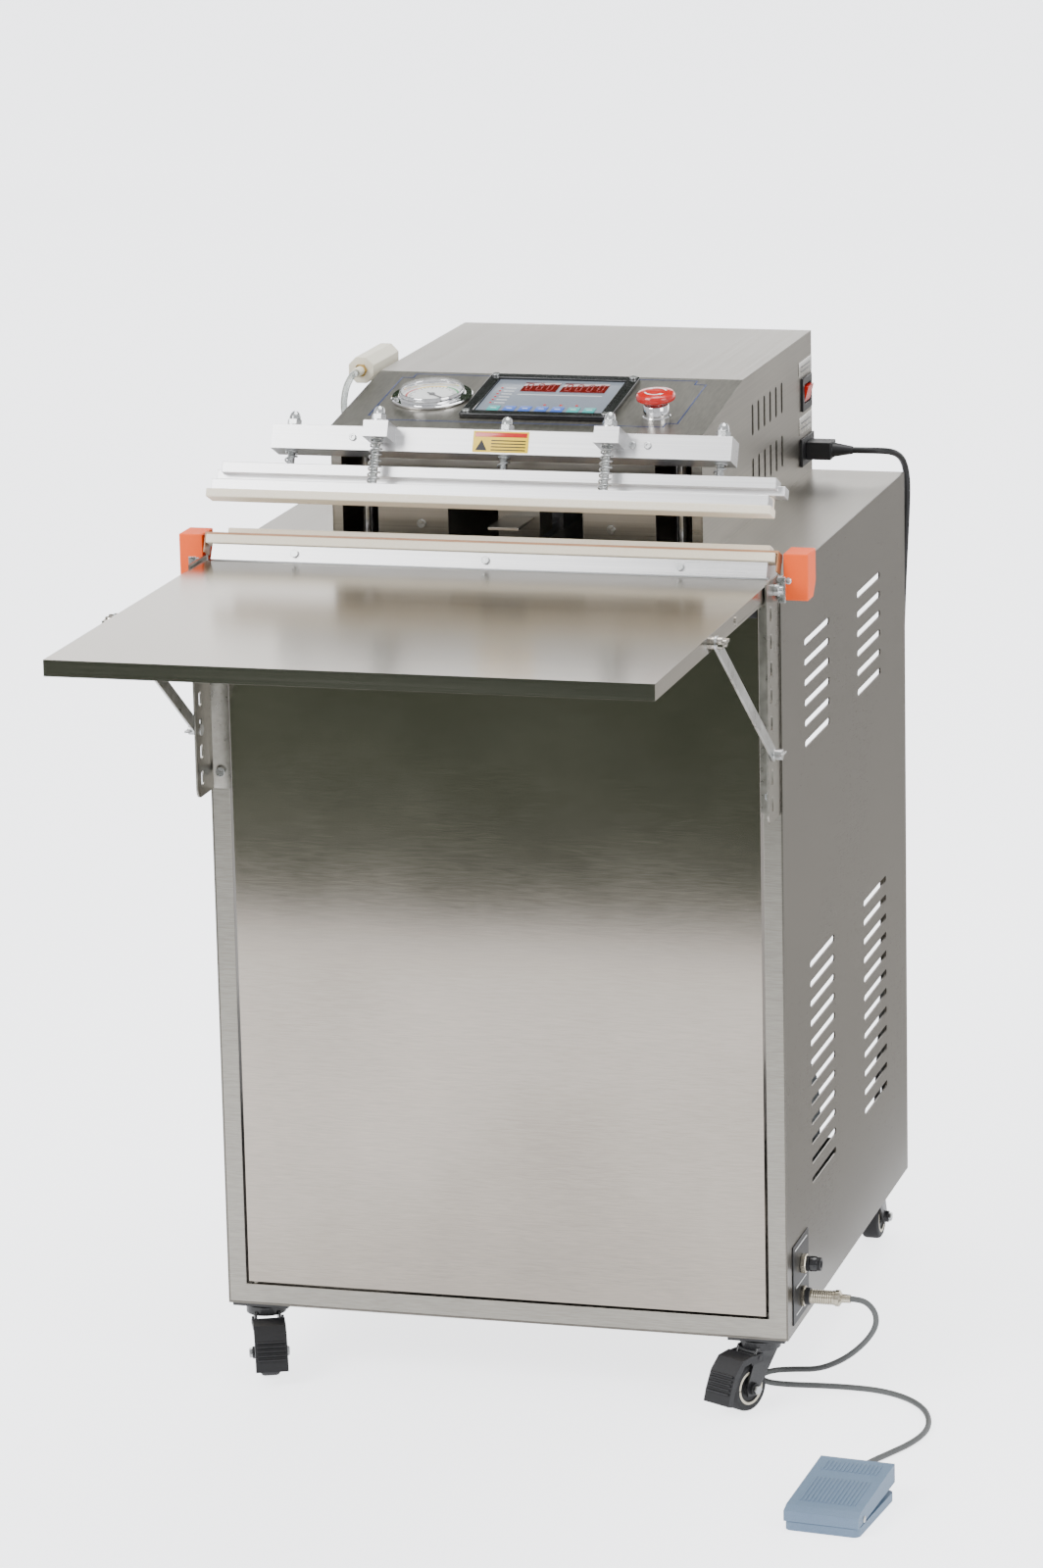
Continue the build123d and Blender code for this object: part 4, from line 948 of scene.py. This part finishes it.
# ---------------------------------------------------------------- press
@dataclass
class Press:
    """The pressing beam, the two sprung jaws, the rods and the nozzle."""

    rear_x: tuple = (-221.0, 3.0, 227.0)
    front_x: tuple = (-122.0, 118.0)
    rear_u: float = -341.5
    front_u: float = -374.0

    def build(self) -> None:
        """Builds the press in the order it is put together."""
        softened("press_beam", JAW_ALUMINIUM, 0.6)
        softened("rear_jaw_bar", JAW_ALUMINIUM, 0.5)
        softened("front_jaw_bar", JAW_ALUMINIUM, 0.5)
        softened("front_jaw_strip", CREAM_RUBBER, 1.0)
        softened("rear_jaw_seal", SPONGE, 1.2)
        softened("press_rods", CHROME, 0.6)
        softened("air_cylinders", CYLINDER_ALUMINIUM, 0.6)
        softened("nozzle", FRONT_STEEL, 0.5)
        self.bolts("rear", self.rear_x, self.rear_u, 894.8, 936.0, "rear_jaw")
        self.bolts("front", self.front_x, self.front_u, 870.5, 936.0, "front_jaw")
        self.springs("rear", self.rear_x, self.rear_u, 894.8, 911.0, 3.4)
        self.springs("front", self.front_x, self.front_u, 870.5, 919.0, 9.5)
        self.beam_screws()
        self.sticker()

    def bolts(self, name: str, xs: tuple, u: float, foot: float, seat: float, body: str) -> None:
        """Threaded rods with a washer, a hexagon nut and a domed nut on each."""
        thread = [(0, foot)]
        steps = int((seat - foot) / 0.75)
        ridge = foot + np.arange(steps) * 0.75
        radius = np.where(np.arange(steps) % 2 == 0, 3.95, 3.6)
        thread += list(zip(radius.tolist(), ridge.tolist())) + [(3.9, seat), (0, seat)]
        group = Surface()
        for x in xs:
            at = JAW.at(x, u, 0)
            group.lathe(thread, at, 20)
            group.lathe([(0, seat), (8.5, seat), (8.5, seat + 1.6), (0, seat + 1.6)], at, 32)
            nut = [(0, 1.6), (6.6, 1.6), (7.5, 2.4), (7.5, 7.4), (6.6, 8.2), (0, 8.2)]
            group.lathe([(r, seat + h) for r, h in nut], at, 6)
            top = seat + 8.2
            dome = [(5.9, 0), (5.7, 3), (4.6, 6.2), (2.6, 8.2), (0, 8.8)]
            group.lathe([(r, top + h) for r, h in dome], at, 24)
        group.piece(f"{name}_bolts", BOLT_ZINC, body, (f"{name}_jaw_bolts",))

    def springs(self, name: str, xs: tuple, u: float, low: float, high: float, turns: float) -> None:
        """Wire springs between a jaw and the beam."""
        group = Surface()
        for x in xs:
            group.coil(JAW.at(x, u, low), high - low, 5.9, 0.95, turns)
        group.piece(f"{name}_wire_springs", BOLT_ZINC, "press", (f"{name}_springs",))

    def beam_face(self, x: float, height: float) -> Place:
        """A place on the beam's front face whose local z points out of it."""
        spot = JAW.put(np.array([x, -355.2, height]))
        return Place(tuple(spot), ((1, 0, 0), JAW.axes[2], tuple(-np.array(JAW.axes[1]))))

    def beam_screws(self) -> None:
        """Socket screws on the beam's face."""
        heads = Surface()
        for x in (-153.5, 138.5, 154.0):
            at = self.beam_face(x, 924.0)
            heads.lathe([(0, 0), (3.6, 0), (3.6, 1.6), (3.0, 2.2), (1.7, 2.2), (1.7, 1.0), (0, 1.0)], at, 24)
        heads.piece("beam_screw_heads", BOLT_ZINC, "press")

    def sticker(self) -> None:
        """A plain two-colour notice on the beam's face."""
        place = self.beam_face(0, 0)
        field_plate = Surface().brick((-27, 912.5, -0.1), (31, 934.5, 0.25), 0.1, place)
        field_plate.piece("notice_field", YELLOW_PRINT, "press")
        marks = Surface().brick((-25, 928.5, 0.2), (29, 933, 0.36), 0.06, place)
        marks.piece("notice_band", RED_GLOSS, "press")
        lines = Surface()
        for k in range(4):
            lines.brick((-8, 914.6 + 3.2 * k, 0.2), (28, 915.8 + 3.2 * k, 0.34), 0.06, place)
        lines.plate([(-24, 914.5), (-12, 914.5), (-18, 925.5)], 0.2, 0.34, place)
        lines.piece("notice_lines", BLACK, "press")


@dataclass
class LowerJaw:
    """The fixed jaw: profile, strips, heater cloth and end covers."""

    def build(self) -> None:
        """Builds the lower jaw."""
        softened("lower_jaw", JAW_ALUMINIUM, 0.5)
        softened("lower_jaw_seals", CREAM_RUBBER, 1.0)
        softened("heater_cover", HEATER_CLOTH, 0.4)
        softened("end_caps", ORANGE, 1.2)
        screws = Surface()
        for sign in (-1, 1):
            at = along((sign * 307.0, 5.0, 866.0), "-y")
            screws.lathe([(0, -1), (3.4, -1), (3.4, 1.1), (2.4, 1.9), (0, 2.1)], at, 24)
        screws.piece("cover_screws", BOLT_ZINC, "machine")


# ---------------------------------------------------------------- table, casters, pedal
@dataclass
class Table:
    """The folding table with its two struts."""

    def build(self) -> None:
        """Rounds the sheet's folds and dresses the struts."""
        softened("table_panel", TABLE_STEEL, 0.5)
        for side, _ in SIDES:
            softened(f"{side}_strut", ZINC, 0.4)


@dataclass
class Casters:
    """Two swivel casters with brakes in front and two fixed ones behind."""

    trail: float = 27.0
    radius: float = 25.0

    def wheel(self, name: str, node: str, place: Place) -> None:
        """A tyre with a groove each side, a pale ring and a dark hub."""
        hub = place.at(self.trail, 0, self.radius)
        rows = np.array(hub.axes)
        spin = Place(hub.origin, (tuple(rows[0]), tuple(-rows[2]), tuple(rows[1])))
        body = BODY_OF[node]
        tyre = [(4.06, -9.4), (7.5, -9.4), (8.2, -8.2), (14.6, -8.2), (15.2, -9.4), (18.4, -10)]
        tyre += [(22.2, -10), (24.2, -8.6), (25, -6)]
        tyre += [(r, -h) for r, h in reversed(tyre)]
        Surface().lathe(tyre, spin, 64, hollow=True).piece(f"{name}_tyre", TYRE, body, (node,))
        ring = Surface()
        for h0, h1 in ((-9.9, -9.3), (9.3, 9.9)):
            ring.sector(spin, 15.2, 17.9, 0, 360, h0, h1)
        ring.piece(f"{name}_ring", WHEEL_CREAM, body)
        caps = Surface()
        for end in (-1, 1):
            rows = (np.array(spin.axes) * [[1], [end], [end]]).tolist()
            lift = Place(spin.origin, tuple(map(tuple, rows)))
            caps.lathe([(0, 17.6), (4.6, 17.6), (5.2, 18.2), (5.2, 20.4), (4.4, 21.2), (0, 21.2)], lift, 6)
        caps.piece(f"{name}_axle_nuts", BOLT_ZINC, BODY_OF.get(node.replace("wheel", "fork"), "machine"))

    def build(self) -> None:
        """Builds all four."""
        for side, sign in SIDES:
            heading = -68.0 if side == "left" else -118.0
            place = turned((sign * 266.0, 21.0, 0.0), heading)
            self.wheel(f"front_{side}", f"front_{side}_wheel", place)
            self.wheel(f"rear_{side}", f"rear_{side}_wheel", turned((sign * 266.0, 547.0, 0.0), 90.0))
            softened(f"front_{side}_fork", CASTER_BLACK, 0.5)
            softened(f"front_{side}_brake", BLACK, 1.0)
            ribs = Surface()
            for k in range(5):
                t = k / 4
                low = (59.2 + 7.4 * t, -15, 45.5 - 17 * t)
                high = (61.6 + 7.4 * t, 15, 47.4 - 17 * t)
                ribs.brick(low, high, 0.7, place)
            ribs.piece(f"front_{side}_lever_ribs", BLACK, BODY_OF[f"front_{side}_brake"])
        softened("caster_mounts", CASTER_BLACK, 0.5)


@dataclass
class Pedal:
    """The foot switch on the floor."""

    width: float = 76.0
    length: float = 112.0
    rib_pitch: float = 4.2

    def build(self) -> None:
        """Dresses the base and the treadle and adds the treadle's grip ribs and pins."""
        place = turned((413.0, -275.0, 0.0), -6.0)
        softened("pedal_base", PEDAL_BLUE, 1.0)
        softened("pedal_treadle", PEDAL_BLUE, 1.6)
        half = self.length / 2
        slope = atan2(36 - 24, 2 * half - 6)
        deck = place.at(0, -half + 8, 24)
        tilt = np.array([[1, 0, 0], [0, cos(slope), sin(slope)], [0, -sin(slope), cos(slope)]])
        axes = tilt @ np.array(deck.axes)
        top = Place(deck.origin, tuple(map(tuple, axes)))
        ribs = Surface()
        for low, high in ((10, 62), (78, 98)):
            for k in range(14):
                x = self.rib_pitch * (k - 6.5)
                ribs.brick((x - 1.0, low, -0.5), (x + 1.0, high, 0.9), 0.5, top)
        ribs.piece("pedal_ribs", PEDAL_BLUE, "treadle")
        pins = Surface()
        for sign in (-1, 1):
            rows = np.array([[0, 1, 0], [0, 0, 1], [sign, 0, 0]]) @ np.array(place.axes)
            spot = Place(place.at(sign * self.width / 2, -half + 16, 14).origin, tuple(map(tuple, rows)))
            pins.lathe([(0, 0), (3.4, 0), (3.4, 0.8), (2.6, 1.4), (0, 1.5)], spot, 24)
        pins.piece("pedal_pin_heads", ZINC, "machine")


# ---------------------------------------------------------------- stage
@dataclass
class Stage:
    """Floor, backdrop, lights and camera."""

    heading: float = 15.737
    pitch: float = 13.657
    roll: float = -1.238
    stand: tuple = (1551.98, -5400.36, 2011.55)
    lens: float = 131.44
    paper_lift: float = 2.2

    def camera(self) -> None:
        """A tripod camera turned to the left, tipped down and rolled a little."""
        psi, tip, roll = radians(self.heading), radians(self.pitch), radians(self.roll)
        ahead = np.array([-sin(psi) * cos(tip), cos(psi) * cos(tip), -sin(tip)])
        right = np.cross(ahead, (0, 0, 1.0))
        right /= np.linalg.norm(right)
        up = np.cross(right, ahead)
        side = cos(roll) * right + sin(roll) * up
        over = -sin(roll) * right + cos(roll) * up
        spot = metres(np.array(self.stand))
        data = bpy.data.cameras.new("camera")
        data.sensor_width = 36.0
        data.lens = self.lens
        data.clip_end = 100.0
        thing = bpy.data.objects.new("camera", data)
        bpy.context.scene.collection.objects.link(thing)
        columns = np.stack([side, over, -ahead], axis=1)
        thing.matrix_world = Matrix.Translation(Vector(spot)) @ Matrix(columns.tolist()).to_4x4()
        bpy.context.scene.camera = thing

    def floor(self) -> None:
        """A pale floor that sweeps up far behind: flat, then a quarter circle, then a wall.

        It gives off more light to camera rays, by paper_lift, than to any other ray.
        """
        bend = np.linspace(0, pi / 2, 24)
        y = np.concatenate([[-14.0], 9.0 + 4.0 * np.sin(bend), [13.0]])
        z = np.concatenate([[0.0], 4.0 - 4.0 * np.cos(bend), [14.0]])
        x = np.array([-18.0, 18.0])
        net = np.stack([np.broadcast_to(x, (len(y), 2)), np.stack([y, y], 1), np.stack([z, z], 1)], -1)
        index = np.arange(len(y) * 2).reshape(-1, 2)
        quads = np.stack([index[:-1, 0], index[:-1, 1], index[1:, 1], index[1:, 0]], -1)
        mesh = bpy.data.meshes.new("studio_floor")
        mesh.from_pydata(net.reshape(-1, 3).tolist(), [], quads.tolist())
        mesh.shade_smooth()
        thing = bpy.data.objects.new("studio_floor", mesh)
        bpy.context.scene.collection.objects.link(thing)
        paper = STUDIO_FLOOR.build()
        nodes, links = paper.node_tree.nodes, paper.node_tree.links
        seen, lift = nodes.new("ShaderNodeLightPath"), nodes.new("ShaderNodeMath")
        lift.operation = "MULTIPLY_ADD"
        lift.inputs[1].default_value = self.paper_lift
        lift.inputs[2].default_value = STUDIO_FLOOR.glow
        links.new(seen.outputs["Is Camera Ray"], lift.inputs[0])
        shader = next(node for node in nodes if node.type == "BSDF_PRINCIPLED")
        links.new(lift.outputs[0], shader.inputs["Emission Strength"])
        mesh.materials.append(paper)
        self.painted_reflection_sheets()

    def painted_reflection_sheets(self) -> None:
        """Painted reflections: four flat sheets round the paper sweep, dark, grey and glowing bright, that
        only steel reflects.
        """
        # Painted reflection: dark sheets on the floor in front and on the far wall, seen only in reflections.
        front = [(-9, -12, 0.006), (9, -12, 0.006), (9, -1.8, 0.006), (-9, -1.8, 0.006)]
        self.card("painted_reflection_sheets", front, PAINTED_DARK_REFLECTION)
        self.card("painted_dark_reflection_wall", [(-9, 8, 4.1), (9, 8, 4.1), (9, 8, 13), (-9, 8, 13)], PAINTED_DARK_REFLECTION)
        # Painted reflection: a grey sheet on the floor beside and behind the cabinet, seen only in
        # reflections.
        beside = [(0.3, 0.4, 0.008), (5, 0.4, 0.008), (5, 8, 0.008), (0.3, 8, 0.008)]
        self.card("painted_grey_reflection_floor", beside, PAINTED_GREY_REFLECTION)
        # Painted reflection: a glowing pale sheet behind, seen only in reflections.
        self.card("painted_bright_reflection_wall", [(-9, 8.4, 0.6), (9, 8.4, 0.6), (9, 8.4, 3.9), (-9, 8.4, 3.9)], PAINTED_BRIGHT_REFLECTION)

    def card(self, name: str, corners: list, finish: Finish) -> None:
        """One flat sheet, four corners in metres, that only reflections see."""
        mesh = bpy.data.meshes.new(name)
        mesh.from_pydata(corners, [], [(0, 1, 2, 3)])
        thing = bpy.data.objects.new(name, mesh)
        bpy.context.scene.collection.objects.link(thing)
        mesh.materials.append(finish.build())
        thing.visible_camera = False
        thing.visible_diffuse = False
        thing.visible_shadow = False

    def lights(self) -> None:
        """A pale surround, a large soft key from the upper left, a fill from the right and a top light."""
        world = bpy.data.worlds.new("studio")
        bpy.context.scene.world = world
        world.use_nodes = True
        backing = world.node_tree.nodes["Background"]
        backing.inputs[0].default_value = tint(244, 245, 247)
        backing.inputs[1].default_value = 0.9
        for name, spot, aim, size, power in (
            ("key", (-2.6, -3.2, 3.4), (0.0, 0.0, 0.6), 2.2, 170.0),
            ("fill", (3.6, -2.0, 2.2), (0.0, 0.0, 0.5), 2.0, 55.0),
            ("top", (0.2, 0.6, 3.8), (0.0, 0.0, 0.5), 2.4, 90.0),
        ):
            data = bpy.data.lights.new(name, "AREA")
            data.size = size
            data.energy = power
            thing = bpy.data.objects.new(name, data)
            bpy.context.scene.collection.objects.link(thing)
            aim_line = Vector(aim) - Vector(spot)
            turn = aim_line.to_track_quat("-Z", "Y").to_matrix().to_4x4()
            thing.matrix_world = Matrix.Translation(Vector(spot)) @ turn

    def build(self) -> None:
        """Sets the stage."""
        self.camera()
        self.floor()
        self.lights()


def main() -> None:
    """Builds the whole object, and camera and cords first."""
    Stage().build()
    for part in (Cords(), Cabinet(), Head(), Press(), LowerJaw(), Table(), Casters(), Pedal()):
        log.info("building %s", type(part).__name__)
        part.build()
    bpy.context.view_layer.update()


if __name__ == "__main__":
    main()
